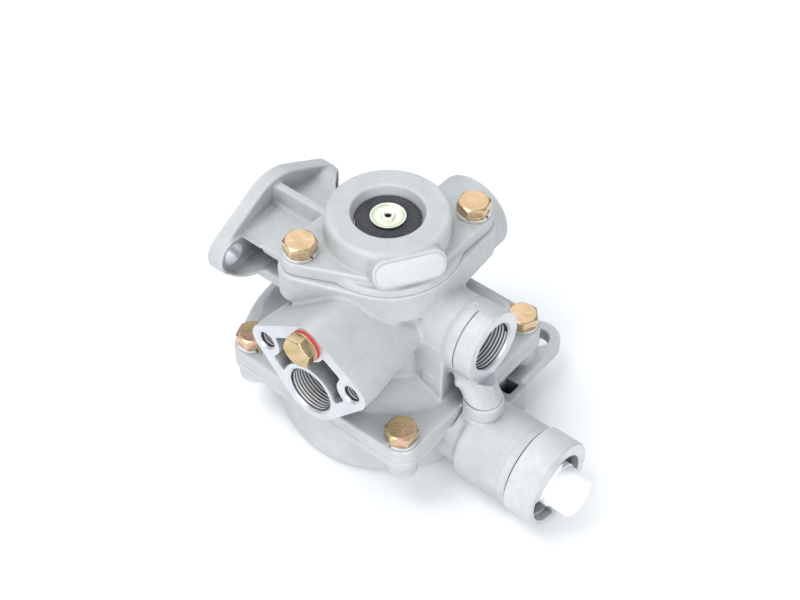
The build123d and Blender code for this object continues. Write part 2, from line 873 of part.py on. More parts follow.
# Grid, flap, cup washer and rivet in the exhaust mouth
with BuildPart() as exhaust_grid:
    with BuildSketch(level(seat_level - grid_thickness)):
        Circle(mouth_seat_radius - flap_gap)
        Circle(mouth_seat_radius - flap_gap - grid_rim, mode=Mode.SUBTRACT)
        Circle(grid_hub)
        with PolarLocations(0, grid_spokes // 2, angular_range=180):
            Rectangle(2 * mouth_seat_radius - grid_rim, grid_spoke_width)
        Circle(rivet_radius + seal_clearance, mode=Mode.SUBTRACT)
    extrude(amount=grid_thickness)
write(exhaust_grid, "exhaust_grid")
exhaust_flap = ring(flap_radius, rivet_radius + seal_clearance, seat_level, seat_level + flap_thickness)
write(exhaust_flap, "exhaust_flap")
flap_top = seat_level + flap_thickness
with BuildPart() as flap_washer:
    with BuildSketch(Plane.XZ):
        with BuildLine():
            Polyline(
                (rivet_radius + seal_clearance, flap_top),
                (cup_radius - cup_rise, flap_top),
                (cup_radius, flap_top + cup_rise),
                (cup_radius - cup_thickness, flap_top + cup_rise),
                (cup_radius - cup_rise - cup_thickness / 2, flap_top + cup_thickness),
                (rivet_radius + seal_clearance, flap_top + cup_thickness),
                close=True,
            )
        make_face()
    revolve(axis=Axis.Z)
write(flap_washer, "flap_washer")
rivet_top = flap_top + cup_thickness
with BuildPart() as flap_rivet:
    with BuildSketch(level(seat_level - grid_thickness - rivet_head)):
        Circle(rivet_head_radius)
    extrude(amount=rivet_head)
    with BuildSketch(level(seat_level - grid_thickness)):
        Circle(rivet_radius)
    extrude(amount=rivet_top - seat_level + grid_thickness)
    with BuildSketch(level(rivet_top)):
        Circle(rivet_head_radius)
    extrude(amount=rivet_head, taper=25)
    with BuildSketch(level(rivet_top + rivet_head)):
        Circle(rivet_hole)
    extrude(amount=-2 * rivet_head, mode=Mode.SUBTRACT)
write(flap_rivet, "flap_rivet")

# Relay piston with its hollow stem and seals
piston_top = piston_rest + piston_thickness
ring_low = piston_rest + (piston_thickness - seal_height) / 2
ring_high = ring_low + seal_height
with BuildPart() as relay_piston:
    with BuildSketch(Plane.XZ):
        with BuildLine():
            Polyline(
                (0, piston_top - piston_web),
                (piston_inside, piston_top - piston_web),
                (piston_inside, piston_rest),
                (piston_radius, piston_rest),
                (piston_radius, ring_low),
                (piston_radius - seal_width, ring_low),
                (piston_radius - seal_width, ring_high),
                (piston_radius, ring_high),
                (piston_radius, piston_top),
                (stem_radius + piston_web, piston_top),
                (stem_radius, piston_top + piston_web),
                (stem_radius, valve_seat_level),
                (stem_bore + 1, valve_seat_level),
                (stem_bore, valve_seat_level - 1),
                (stem_bore, divider_top - 4),
                (0, divider_top - 4),
                close=True,
            )
        make_face()
    revolve(axis=Axis.Z)
    with BuildSketch(level(piston_rest)):
        with PolarLocations((piston_inside + stem_radius) / 2, 6):
            Rectangle(piston_inside - stem_radius + 1, piston_web)
    extrude(amount=piston_thickness - piston_web)
write(relay_piston, "relay_piston")
piston_seal_ring = ring(piston_radius, piston_radius - seal_width + seal_clearance, ring_low, ring_high)
write(piston_seal_ring, "piston_seal_ring")
stem_seal_ring = ring(
    stem_room + seal_width - seal_clearance,
    stem_room,
    stem_ring_low,
    stem_ring_low + seal_height,
)
write(stem_seal_ring, "stem_seal_ring")

# Valve insert: tube with a disc and the rubber that closes both seats
disc_bottom = valve_seat_level + valve_rubber
disc_top = disc_bottom + valve_disc_thickness
with BuildPart() as valve_insert:
    with BuildSketch(level(disc_bottom)):
        Circle(valve_disc)
    extrude(amount=valve_disc_thickness)
    with BuildSketch(level(disc_top)):
        Circle(valve_tube)
    extrude(amount=valve_tube_top - disc_top)
    with BuildSketch(level(disc_bottom)):
        Circle(valve_tube_bore)
    extrude(amount=valve_tube_top - disc_bottom, mode=Mode.SUBTRACT)
write(valve_insert, "valve_insert")
valve_rubber_ring = ring(valve_disc, valve_tube_bore, valve_seat_level, disc_bottom)
write(valve_rubber_ring, "valve_rubber_ring")
valve_spring = coil(spring_radius, spring_wire, disc_top, guide_bottom, spring_turns)
write(valve_spring, "valve_spring")

# Guide of the valve insert with its two sealing rings
guide_ring_low = guide_bottom + (guide_thickness - seal_height) / 2
guide_ring_high = guide_ring_low + seal_height
with BuildPart() as valve_guide:
    with BuildSketch(level(guide_bottom)):
        Circle(guide_radius)
        Circle(guide_bore, mode=Mode.SUBTRACT)
    extrude(amount=guide_thickness)
    with BuildSketch(level(seam_high)):
        Circle(guide_radius - guide_hollow)
        Circle(guide_bore + guide_hollow, mode=Mode.SUBTRACT)
    extrude(amount=-guide_hollow, mode=Mode.SUBTRACT)
    outer_groove = ring(guide_radius, guide_radius - seal_width, guide_ring_low, guide_ring_high)
    add(outer_groove.part, mode=Mode.SUBTRACT)
    inner_groove = ring(guide_bore + seal_width, guide_bore, guide_ring_low, guide_ring_high)
    add(inner_groove.part, mode=Mode.SUBTRACT)
write(valve_guide, "valve_guide")
guide_seal_ring = ring(
    guide_radius,
    guide_radius - seal_width + seal_clearance,
    guide_ring_low,
    guide_ring_high,
)
write(guide_seal_ring, "guide_seal_ring")
insert_seal_ring = ring(
    guide_bore + seal_width - seal_clearance,
    guide_bore,
    guide_ring_low,
    guide_ring_high,
)
write(insert_seal_ring, "insert_seal_ring")

# Release valve: knob, plunger, guide sleeve, retaining ring, spring and seals
release_axis = facing_right(0, y=release_y, z=release_z)
knob_front = release_reach - release_lip_depth
knob_back = knob_front - knob_lug
sleeve_end = sleeve_start + sleeve_length
with BuildPart() as release_knob:
    with BuildSketch(release_axis.offset(knob_back)):
        Circle(knob_core_radius)
        for angle in lug_angles:
            add(wedge(knob_wing_radius, angle, lug_width))
    extrude(amount=knob_base)
    with BuildSketch(release_axis.offset(knob_back)):
        for angle in lug_angles:
            add(wedge(knob_lug_radius, angle, lug_width))
    extrude(amount=knob_front - knob_back)
    with BuildSketch(release_axis.offset(knob_back + knob_base)):
        Circle(knob_shank)
    extrude(amount=knob_reach - knob_back - knob_base)
    fillet(release_knob.faces().sort_by(Axis.X)[-1].edges(), knob_round)
    with BuildSketch(release_axis.offset(knob_back)):
        Circle(plunger_radius + seal_clearance)
    extrude(amount=knob_socket, mode=Mode.SUBTRACT)
write(release_knob, "release_knob")
with BuildPart() as release_plunger:
    with BuildSketch(release_axis.offset(sleeve_start - plunger_head_length)):
        Circle(plunger_head)
    extrude(amount=plunger_head_length)
    with BuildSketch(release_axis.offset(sleeve_start)):
        Circle(plunger_radius)
    extrude(amount=knob_back + knob_socket - sleeve_start)
write(release_plunger, "release_plunger")
with BuildPart() as release_sleeve:
    with BuildSketch(release_axis.offset(sleeve_start)):
        Circle(release_bore - guide_clearance)
        Circle(plunger_radius + guide_clearance, mode=Mode.SUBTRACT)
    extrude(amount=sleeve_length)
    sleeve_groove = release_axis.offset(sleeve_start + sleeve_length / 2)
    with BuildSketch(sleeve_groove):
        Circle(release_bore)
        Circle(release_bore - guide_clearance - seal_width, mode=Mode.SUBTRACT)
        Circle(plunger_radius + guide_clearance + seal_width)
        Circle(plunger_radius, mode=Mode.SUBTRACT)
    extrude(amount=seal_height, mode=Mode.SUBTRACT)
write(release_sleeve, "release_sleeve")
release_seals = {
    "sleeve_seal_ring": (release_bore - guide_clearance, release_bore - seal_width),
    "plunger_seal_ring": (plunger_radius + seal_width, plunger_radius + guide_clearance),
}
for name, (outer, inner) in release_seals.items():
    write(ring(outer, inner, 0, seal_height, sleeve_groove), name)
with BuildPart() as sleeve_retaining_ring:
    with BuildSketch(release_axis.offset(sleeve_end)):
        Circle(release_bore + snap_ring / 2)
        Circle(release_bore - snap_width, mode=Mode.SUBTRACT)
        with Locations((0, -release_bore)):
            Rectangle(snap_width, 3 * snap_width, mode=Mode.SUBTRACT)
    extrude(amount=snap_ring)
write(sleeve_retaining_ring, "sleeve_retaining_ring")
release_spring = coil(
    release_spring_radius, release_wire, sleeve_end, knob_back, release_turns, release_axis
)
write(release_spring, "release_spring")
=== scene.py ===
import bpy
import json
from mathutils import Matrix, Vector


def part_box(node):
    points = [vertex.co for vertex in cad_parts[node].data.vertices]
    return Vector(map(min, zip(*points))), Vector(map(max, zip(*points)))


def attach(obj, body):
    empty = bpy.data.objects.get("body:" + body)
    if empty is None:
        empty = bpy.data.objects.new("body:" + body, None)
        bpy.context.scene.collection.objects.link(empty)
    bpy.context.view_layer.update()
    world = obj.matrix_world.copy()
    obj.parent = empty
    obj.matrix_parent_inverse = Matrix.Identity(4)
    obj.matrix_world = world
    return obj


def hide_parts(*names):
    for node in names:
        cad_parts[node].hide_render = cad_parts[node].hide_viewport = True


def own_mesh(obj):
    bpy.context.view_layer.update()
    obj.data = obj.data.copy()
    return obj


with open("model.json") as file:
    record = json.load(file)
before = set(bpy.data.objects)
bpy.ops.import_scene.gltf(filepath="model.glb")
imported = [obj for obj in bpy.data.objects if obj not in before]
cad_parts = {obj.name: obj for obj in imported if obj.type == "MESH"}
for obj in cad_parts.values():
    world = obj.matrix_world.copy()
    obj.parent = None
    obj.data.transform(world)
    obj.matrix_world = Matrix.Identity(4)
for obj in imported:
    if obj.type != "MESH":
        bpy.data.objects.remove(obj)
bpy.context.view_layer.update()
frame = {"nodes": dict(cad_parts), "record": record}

import json
import math
import bpy
from mathutils import Matrix, Vector

# The valve's sizes are in millimetres and turned into metres where they are used
MM = 0.001
nodes = frame["nodes"]
subparts = {entry["node"]: entry["material_slot"] for entry in frame["record"]["subparts"]}
X, Y, Z = 0, 1, 2
LOW, HIGH = 0, 1


def box_side(node_name, side, axis):
    """Where the low or the high side of a CAD node's box lies along an axis."""
    return round(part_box(node_name)[side][axis] / MM, 2)


def box_middle(node_name, axis):
    """Where the middle of a CAD node's box lies along an axis."""
    low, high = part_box(node_name)
    return round((low[axis] + high[axis]) / 2 / MM, 2)


# Camera: the photograph's angle in degrees, its distance and framing in metres
AZIMUTH, ELEVATION, ROLL = 39.3, 46.5, 0.25
DISTANCE, SIDE_SHIFT, TARGET_HEIGHT = 0.700, 0.0051, 0.0606
FOCAL_PIXELS, IMAGE_WIDTH, SENSOR = 1604.0, 800.0, 36.0

# Places that the frame's boxes show
SEAM_LOW = box_side("valve_body", LOW, Z)
SEAM_HIGH = box_side("valve_body", HIGH, Z)
FLANGE_TOP = box_side("bowl_spring_washers", LOW, Z)
COVER_TOP = box_side("cover_spring_washers", LOW, Z)
PORT_Y_REACH = box_side("valve_body", HIGH, Y)
DIAMOND_REACH = -box_side("valve_body", LOW, Y)
MOUNT_REACH = -box_side("valve_body", LOW, X)
RELEASE_REACH = box_side("bowl_cover", HIGH, X)
DIAMOND_CENTRE = box_middle("closing_plug", X)
PLUG_LEVEL = box_middle("closing_plug", Z)
RELEASE_Y = box_middle("release_knob", Y)
RELEASE_Z = box_middle("release_knob", Z)

# Places inside those boxes
PORT_LEVEL, FRONT_PORT_LEVEL, PORT_X_REACH = 70.0, 55.0, 57.0
MOUNT_CENTRE, MOUNT_HALF_PITCH, MOUNT_HOLE = 1.1, 30.0, 5.25
DIAMOND_HALF_PITCH, BOLT_OFFSET = 23.2, 42.5
COVER_TURN, COVER_REACH = math.radians(57.7), 38.0
COVER_SIDE = (COVER_REACH * math.cos(COVER_TURN), COVER_REACH * math.sin(COVER_TURN))
HEAD_TURN = -20.7

# Points closer together than this become one
MERGE_DISTANCE = 0.001

# Where a turned piece's own axis points, given as its three directions
AXES = {
    "Z": ((1, 0, 0), (0, 1, 0), (0, 0, 1)),
    "X": ((0, 1, 0), (0, 0, 1), (1, 0, 0)),
    "LEFT": ((0, -1, 0), (0, 0, 1), (-1, 0, 0)),
    "FRONT": ((1, 0, 0), (0, 0, 1), (0, -1, 0)),
    "BACK": ((-1, 0, 0), (0, 0, 1), (0, 1, 0)),
}


# Tools for modelling

def activate(piece):
    """Makes a piece the only selected and active one."""
    bpy.ops.object.select_all(action="DESELECT")
    piece.select_set(True)
    bpy.context.view_layer.objects.active = piece


def edit(piece):
    """Opens a piece in edit mode with everything selected."""
    activate(piece)
    bpy.ops.object.mode_set(mode="EDIT")
    bpy.ops.mesh.select_all(action="SELECT")


def leave_edit(doubles=0.0):
    """Merges what lies together, points all faces outwards and closes edit mode."""
    bpy.ops.mesh.select_all(action="SELECT")
    if doubles:
        bpy.ops.mesh.remove_doubles(threshold=doubles * MM)
    bpy.ops.mesh.normals_make_consistent(inside=False)
    bpy.ops.object.mode_set(mode="OBJECT")


def apply_modifier(piece, kind, **settings):
    """Adds a modifier with its settings and applies it."""
    activate(piece)
    modifier = piece.modifiers.new(kind.lower(), kind)
    for name, value in settings.items():
        setattr(modifier, name, value)
    bpy.ops.object.modifier_apply(modifier=modifier.name)


def ease_edges(piece, width, sharpest, segments=2):
    """Small bevel on every edge that is sharper than an angle."""
    apply_modifier(
        piece, "BEVEL", width=width * MM, segments=segments, limit_method="ANGLE",
        angle_limit=math.radians(sharpest),
    )


def close_ends(piece):
    """Fills the open ends of a piece that a screw modifier drew."""
    edit(piece)
    bpy.ops.mesh.select_all(action="DESELECT")
    bpy.ops.mesh.select_mode(type="EDGE")
    bpy.ops.mesh.select_non_manifold()
    bpy.ops.mesh.fill_holes(sides=0)
    leave_edit()


def settle(piece, place=(0, 0, 0), axis="Z", turn=0.0):
    """Puts a piece in its place and leaves its object at the origin, unturned."""
    directions = Matrix(AXES[axis]).transposed().to_4x4()
    spot = Matrix.Translation(Vector(place) * MM)
    piece.matrix_world = spot @ directions @ Matrix.Rotation(math.radians(turn), 4, "Z")
    activate(piece)
    bpy.ops.object.transform_apply(location=True, rotation=True, scale=True)
    return piece


def named(name):
    """Names the active object and its mesh."""
    piece = bpy.context.object
    piece.name = piece.data.name = name
    return piece


def turned(name, profile, place=(0, 0, 0), axis="Z", closed=False, segments=96):
    """Piece turned round an axis from a profile of (radius, height) points.

    A closed profile runs back to its first point, an open one has a flat disc at each end.
    """
    bpy.ops.object.select_all(action="DESELECT")
    radius, height = profile[0]
    fill = "NOTHING" if closed else "NGON"
    bpy.ops.mesh.primitive_circle_add(vertices=segments, radius=radius * MM, fill_type=fill)
    piece = named(name)
    edit(piece)
    bpy.ops.transform.translate(value=(0, 0, height * MM))
    for next_radius, next_height in profile[1:] + profile[:1] * closed:
        rise = (0, 0, (next_height - height) * MM)
        bpy.ops.mesh.extrude_region_move(TRANSFORM_OT_translate={"value": rise})
        share = next_radius / radius
        bpy.ops.transform.resize(value=(share, share, 1), center_override=(0, 0, 0))
        radius, height = next_radius, next_height
    leave_edit(doubles=MERGE_DISTANCE * closed)
    return settle(piece, place, axis)


def rod(name, radius, low, high, place=(0, 0, 0), axis="Z", segments=64):
    """Plain round rod, used to fill or cut castings."""
    return turned(name, [(radius, low), (radius, high)], place, axis, segments=segments)


def block(name, low, high):
    """Box from one corner to the other, used to cut castings."""
    bpy.ops.object.select_all(action="DESELECT")
    middle = [(a + b) / 2 * MM for a, b in zip(low, high)]
    bpy.ops.mesh.primitive_cube_add(size=1, location=middle)
    piece = named(name)
    piece.scale = [(b - a) * MM for a, b in zip(low, high)]
    bpy.ops.object.transform_apply(location=True, rotation=True, scale=True)
    return piece


def sector(name, radius, middle, width, low, high, place, axis):
    """Slice of a disc between two angles, from low to high along its axis."""
    bpy.ops.object.select_all(action="DESELECT")
    bpy.ops.mesh.primitive_circle_add(vertices=180, radius=radius * MM, fill_type="TRIFAN")
    piece = named(name)
    for face in piece.data.polygons:
        angle = math.degrees(math.atan2(face.center.y, face.center.x))
        off = (angle - middle + 180) % 360 - 180
        face.select = abs(off) > width / 2
    bpy.ops.object.mode_set(mode="EDIT")
    bpy.ops.mesh.select_mode(type="FACE")
    bpy.ops.mesh.delete(type="FACE")
    bpy.ops.mesh.select_all(action="SELECT")
    bpy.ops.transform.translate(value=(0, 0, low * MM))
    rise = (0, 0, (high - low) * MM)
    bpy.ops.mesh.extrude_region_move(TRANSFORM_OT_translate={"value": rise})
    leave_edit(doubles=MERGE_DISTANCE)
    return settle(piece, place, axis)


def keep_side(piece, place, direction):
    """Cuts a piece along a plane and keeps the side that the direction points to."""
    edit(piece)
    bpy.ops.mesh.bisect(
        plane_co=Vector(place) * MM, plane_no=direction, use_fill=True, clear_inner=True,
    )
    leave_edit()
    return piece


def join(pieces, name):
    """Several pieces as one object."""
    activate(pieces[0])
    for piece in pieces:
        piece.select_set(True)
    bpy.ops.object.join()
    return named(name)


def copy_of(node_name, name):
    """Own copy of a CAD node's mesh, with its doubles merged."""
    source = nodes[node_name]
    piece = bpy.data.objects.new(name, source.data.copy())
    piece.data.name = name
    bpy.context.collection.objects.link(piece)
    piece.matrix_world = source.matrix_world.copy()
    piece.data.materials.clear()
    activate(piece)
    bpy.ops.object.transform_apply(location=True, rotation=True, scale=True)
    edit(piece)
    bpy.ops.mesh.remove_doubles(threshold=MERGE_DISTANCE * MM)
    bpy.ops.object.mode_set(mode="OBJECT")
    return piece


def cut(piece, cutters, finish="machined_alloy"):
    """Machines a casting with cutters, whose finish the cut faces take."""
    for cutter in cutters:
        cutter.data.materials.clear()
        cutter.data.materials.append(finishes[finish])
    tool = join(cutters, "cutter")
    apply_modifier(
        piece, "BOOLEAN", object=tool, operation="DIFFERENCE", solver="MANIFOLD",
        material_mode="TRANSFER",
    )
    bpy.data.objects.remove(tool)


def smooth(piece, angle=35.0):
    """Smooth shading that keeps edges sharper than an angle."""
    activate(piece)
    bpy.ops.object.shade_smooth_by_angle(angle=math.radians(angle))
    return piece


def finish_piece(piece, node_name, carrier="housing"):
    """Finish, body and replaced CAD node of a finished piece."""
    slot = subparts[node_name]
    if not piece.data.materials:
        piece.data.materials.append(finishes[slot])
    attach(piece, carrier)
    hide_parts(node_name)


# Tools for materials

def wire(tree, kind, links=(), **settings):
    """Node with its settings. links maps input names or numbers to sockets or values."""
    node = tree.nodes.new(kind)
    for name, value in settings.items():
        setattr(node, name, value)
    for name, value in dict(links).items():
        if isinstance(value, bpy.types.NodeSocket):
            tree.links.new(value, node.inputs[name])
        else:
            node.inputs[name].default_value = value
    return node


def noise(tree, vector, scale, detail=3.0, rough=0.55, spread=0.0):
    """Noise value at a scale per metre."""
    links = {
        "Vector": vector, "Scale": scale, "Detail": detail, "Roughness": rough,
        "Distortion": spread,
    }
    return wire(tree, "ShaderNodeTexNoise", links).outputs["Fac"]


def remap(tree, value, low, high, to_low=0.0, to_high=1.0):
    """Value moved from one range to another and held inside it."""
    links = {
        "Value": value, "From Min": low, "From Max": high, "To Min": to_low, "To Max": to_high,
    }
    return wire(tree, "ShaderNodeMapRange", links).outputs["Result"]


def calc(tree, operation, first, second):
    """Sum, product or other result of two values."""
    return wire(tree, "ShaderNodeMath", {0: first, 1: second}, operation=operation).outputs[0]


def blend(tree, share, first, second):
    """Two colours mixed by a share."""
    node = wire(tree, "ShaderNodeMix", data_type="RGBA")
    for name, value in (("Factor_Float", share), ("A_Color", first), ("B_Color", second)):
        socket = next(entry for entry in node.inputs if entry.identifier == name)
        if isinstance(value, bpy.types.NodeSocket):
            tree.links.new(value, socket)
        else:
            socket.default_value = value if name == "Factor_Float" else (*value, 1.0)
    return next(entry for entry in node.outputs if entry.identifier == "Result_Color")


def new_group(name, inputs, outputs):
    """Empty node group with its named sockets."""
    tree = bpy.data.node_groups.new(name, "ShaderNodeTree")
    for socket_name, kind in inputs:
        tree.interface.new_socket(socket_name, in_out="INPUT", socket_type=kind)
    for socket_name, kind in outputs:
        tree.interface.new_socket(socket_name, in_out="OUTPUT", socket_type=kind)
    return tree, tree.nodes.new("NodeGroupInput").outputs, tree.nodes.new("NodeGroupOutput").inputs


def use_group(tree, group, links):
    """Outputs of a node that uses a group, with its inputs wired."""
    return wire(tree, "ShaderNodeGroup", links, node_tree=group).outputs


VALUE, VECTOR = "NodeSocketFloat", "NodeSocketVector"


def make_cast_skin():
    """Casting texture: grain, orange peel, pits and broad changes of tone."""
    tree, given, out = new_group(
        "cast_skin",
        [("Vector", VECTOR), ("Depth", VALUE)],
        [("Tone", VALUE), ("Pits", VALUE), ("Normal", VECTOR)],
    )
    place = given["Vector"]
    tree.links.new(noise(tree, place, 75.0, 4.0, 0.6, 0.6), out["Tone"])
    cells = wire(tree, "ShaderNodeTexVoronoi", {"Vector": place, "Scale": 420.0, "Randomness": 1.0})
    sparse = remap(tree, noise(tree, place, 160.0, 2.0), 0.56, 0.66)
    pits = calc(tree, "MULTIPLY", remap(tree, cells.outputs["Distance"], 0.16, 0.05), sparse)
    tree.links.new(pits, out["Pits"])
    grain = calc(tree, "MULTIPLY", noise(tree, place, 1500.0, 2.0), 0.5)
    peel = noise(tree, place, 380.0, 2.0)
    waves = calc(tree, "MULTIPLY", noise(tree, place, 110.0, 1.0), 0.9)
    height = calc(tree, "ADD", calc(tree, "ADD", grain, peel), waves)
    height = calc(tree, "SUBTRACT", height, pits)
    bump = wire(
        tree, "ShaderNodeBump",
        {"Strength": given["Depth"], "Distance": 0.16 * MM, "Height": height},
    )
    tree.links.new(bump.outputs["Normal"], out["Normal"])
    return tree


def make_edge_tone():
    """Masks of worn edges that also carry a painted highlight, of creases for painted shade, and of
    hollows for painted shade.
    """
    tree, given, out = new_group(
        "edge_tone",
        [("Vector", VECTOR), ("Width", VALUE)],
        [("Edge", VALUE), ("Corner", VALUE), ("Shelter", VALUE)],
    )
    # Ambient occlusion, turned into a mask of painted shade in hollows
    sky = wire(
        tree, "ShaderNodeAmbientOcclusion", {"Distance": 18 * MM}, samples=8, only_local=True,
    )
    tree.links.new(remap(tree, sky.outputs["AO"], 0.58, 0.22), out["Shelter"])
    # Pointiness: sharp edges for wear with a painted highlight, creases for painted shade
    shape = tree.nodes.new("ShaderNodeNewGeometry").outputs["Pointiness"]
    uneven = remap(tree, noise(tree, given["Vector"], 260.0, 3.0), 0.3, 0.7, 0.4, 1.0)
    sharp = remap(tree, shape, 0.5, calc(tree, "ADD", 0.5, given["Width"]))
    hollow = remap(tree, shape, 0.5, calc(tree, "SUBTRACT", 0.5, given["Width"]))
    tree.links.new(calc(tree, "MULTIPLY", sharp, uneven), out["Edge"])
    tree.links.new(hollow, out["Corner"])
    return tree


def make_tool_marks():
    """Fine lines that a cutter or a die leaves, with scratches."""
    tree, given, out = new_group(
        "tool_marks",
        [("Vector", VECTOR), ("Scale", VALUE), ("Depth", VALUE)],
        [("Lines", VALUE), ("Normal", VECTOR)],
    )
    place = given["Vector"]
    links = {
        "Vector": place, "Scale": given["Scale"], "Distortion": 6.0, "Detail": 2.0,
        "Detail Scale": 0.4,
    }
    lines = wire(
        tree, "ShaderNodeTexWave", links, wave_type="BANDS", bands_direction="DIAGONAL",
    ).outputs["Fac"]
    rough = noise(tree, place, 900.0, 2.0)
    height = calc(tree, "ADD", calc(tree, "MULTIPLY", lines, 0.6), rough)
    bump = wire(
        tree, "ShaderNodeBump",
        {"Strength": given["Depth"], "Distance": 0.05 * MM, "Height": height},
    )
    tree.links.new(lines, out["Lines"])
    tree.links.new(bump.outputs["Normal"], out["Normal"])
    return tree


def make_dust():
    """Mask of fine dust, more of it on faces that look up."""
    tree, given, out = new_group(
        "dust",
        [("Vector", VECTOR), ("Amount", VALUE)],
        [("Mask", VALUE)],
    )
    facing = tree.nodes.new("ShaderNodeNewGeometry").outputs["Normal"]
    up = wire(tree, "ShaderNodeSeparateXYZ", {"Vector": facing}).outputs["Z"]
    spots = remap(tree, noise(tree, given["Vector"], 700.0, 4.0, 0.7), 0.5, 0.75)
    mask = calc(tree, "MULTIPLY", remap(tree, up, -0.2, 1.0), spots)
    tree.links.new(calc(tree, "MULTIPLY", mask, given["Amount"]), out["Mask"])
    return tree


cast_skin = make_cast_skin()
edge_tone = make_edge_tone()
tool_marks = make_tool_marks()
dust = make_dust()
finishes = {}


def start_finish(name, **constants):
    """New material, its tree, Principled node and Object coordinates."""
    material = bpy.data.materials.new(name)
    material.use_nodes = True
    tree = material.node_tree
    shader = tree.nodes["Principled BSDF"]
    for socket_name, value in constants.items():
        shader.inputs[socket_name.replace("_", " ")].default_value = value
    place = tree.nodes.new("ShaderNodeTexCoord").outputs["Object"]
    finishes[name] = material
    return tree, shader, place


def connect(tree, shader, **sockets):
    """Links sockets to the Principled node's inputs."""
    for name, socket in sockets.items():
        tree.links.new(socket, shader.inputs[name.replace("_", " ")])


def make_cast_alloy():
    """Cast aluminium alloy, with painted shade in corners and hollows and paler worn edges that carry
    a painted highlight.
    """
    tree, shader, place = start_finish("cast_alloy", Metallic=0.2, Specular_IOR_Level=0.4)
    skin = use_group(tree, cast_skin, {"Vector": place, "Depth": 0.55})
    edges = use_group(tree, edge_tone, {"Vector": place, "Width": 0.07})
    specks = use_group(tree, dust, {"Vector": place, "Amount": 0.35})
    tone = remap(tree, skin["Tone"], 0.3, 0.7)
    colour = blend(tree, tone, (0.47, 0.49, 0.50), (0.56, 0.575, 0.585))
    fine = remap(tree, noise(tree, place, 1100.0, 2.0), 0.25, 0.75)
    colour = blend(tree, calc(tree, "MULTIPLY", fine, 0.25), colour, (0.60, 0.61, 0.61))
    colour = blend(tree, calc(tree, "MULTIPLY", skin["Pits"], 0.5), colour, (0.25, 0.26, 0.27))
    # Painted shade in creases and in hollows, then worn edges with a painted highlight
    colour = blend(tree, calc(tree, "MULTIPLY", edges["Corner"], 0.55), colour, (0.25, 0.265, 0.28))
    colour = blend(tree, calc(tree, "MULTIPLY", edges["Shelter"], 0.8), colour, (0.10, 0.105, 0.115))
    colour = blend(tree, calc(tree, "MULTIPLY", edges["Edge"], 0.6), colour, (0.78, 0.79, 0.80))
    colour = blend(tree, specks["Mask"], colour, (0.72, 0.71, 0.69))
    roughness = remap(tree, fine, 0.0, 1.0, 0.50, 0.66)
    connect(tree, shader, Base_Color=colour, Roughness=roughness, Normal=skin["Normal"])


def make_machined(name, light, dark, rough, metallic, scale, depth, lines=0.15, wear_and_painted_light=1.0):
    """Cut or turned metal with tool marks, with painted shade in its creases and worn edges that carry
    a painted highlight.
    """
    tree, shader, place = start_finish(name, Metallic=metallic)
    marks = use_group(tree, tool_marks, {"Vector": place, "Scale": scale, "Depth": depth})
    edges = use_group(tree, edge_tone, {"Vector": place, "Width": 0.08})
    tone = remap(tree, noise(tree, place, 120.0, 3.0), 0.3, 0.7)
    colour = blend(tree, tone, dark, light)
    # Colours of the painted shade in creases and of worn edges with a painted highlight
    crease_shade = [part * 0.4 for part in dark]
    bright = [min(1.0, part * 1.2 + 0.1) for part in light]
    colour = blend(tree, calc(tree, "MULTIPLY", marks["Lines"], lines), colour, dark)
    colour = blend(tree, calc(tree, "MULTIPLY", edges["Corner"], 0.5 * wear_and_painted_light), colour, crease_shade)
    colour = blend(tree, calc(tree, "MULTIPLY", edges["Edge"], wear_and_painted_light), colour, bright)
    roughness = remap(tree, marks["Lines"], 0.0, 1.0, rough, rough + 0.12)
    connect(tree, shader, Base_Color=colour, Roughness=roughness, Normal=marks["Normal"])


def make_zinc():
    """Yellow zinc plating that shifts between gold, copper and green."""
    tree, shader, place = start_finish("zinc_plating", Metallic=0.9)
    marks = use_group(tree, tool_marks, {"Vector": place, "Scale": 500.0, "Depth": 0.16})
    edges = use_group(tree, edge_tone, {"Vector": place, "Width": 0.06})
    hue = remap(tree, noise(tree, place, 30.0, 2.0, 0.5, 1.5), 0.35, 0.65)
    colour = blend(tree, hue, (0.66, 0.48, 0.27), (0.70, 0.44, 0.30))
    green = remap(tree, noise(tree, place, 45.0, 3.0, 0.5, 2.0), 0.44, 0.62, 0.0, 0.75)
    colour = blend(tree, green, colour, (0.44, 0.38, 0.16))
    stain = remap(tree, noise(tree, place, 300.0, 3.0), 0.5, 0.9, 0.0, 0.12)
    colour = blend(tree, stain, colour, (0.42, 0.28, 0.14))
    # Worn edges with a painted highlight
    colour = blend(tree, calc(tree, "MULTIPLY", edges["Edge"], 0.5), colour, (0.90, 0.74, 0.54))
    roughness = remap(tree, noise(tree, place, 650.0, 3.0), 0.3, 0.7, 0.20, 0.34)
    connect(tree, shader, Base_Color=colour, Roughness=roughness, Normal=marks["Normal"])


def make_rubber(name, dark, light, rough):
    """Dark moulded rubber with a little dust."""
    tree, shader, place = start_finish(name, Specular_IOR_Level=0.45)
    skin = use_group(tree, cast_skin, {"Vector": place, "Depth": 0.15})
    specks = use_group(tree, dust, {"Vector": place, "Amount": 0.25})
    colour = blend(tree, remap(tree, skin["Tone"], 0.3, 0.7), dark, light)
    colour = blend(tree, specks["Mask"], colour, (0.22, 0.22, 0.22))
    roughness = remap(tree, skin["Tone"], 0.3, 0.7, rough, rough + 0.15)
    connect(tree, shader, Base_Color=colour, Roughness=roughness, Normal=skin["Normal"])


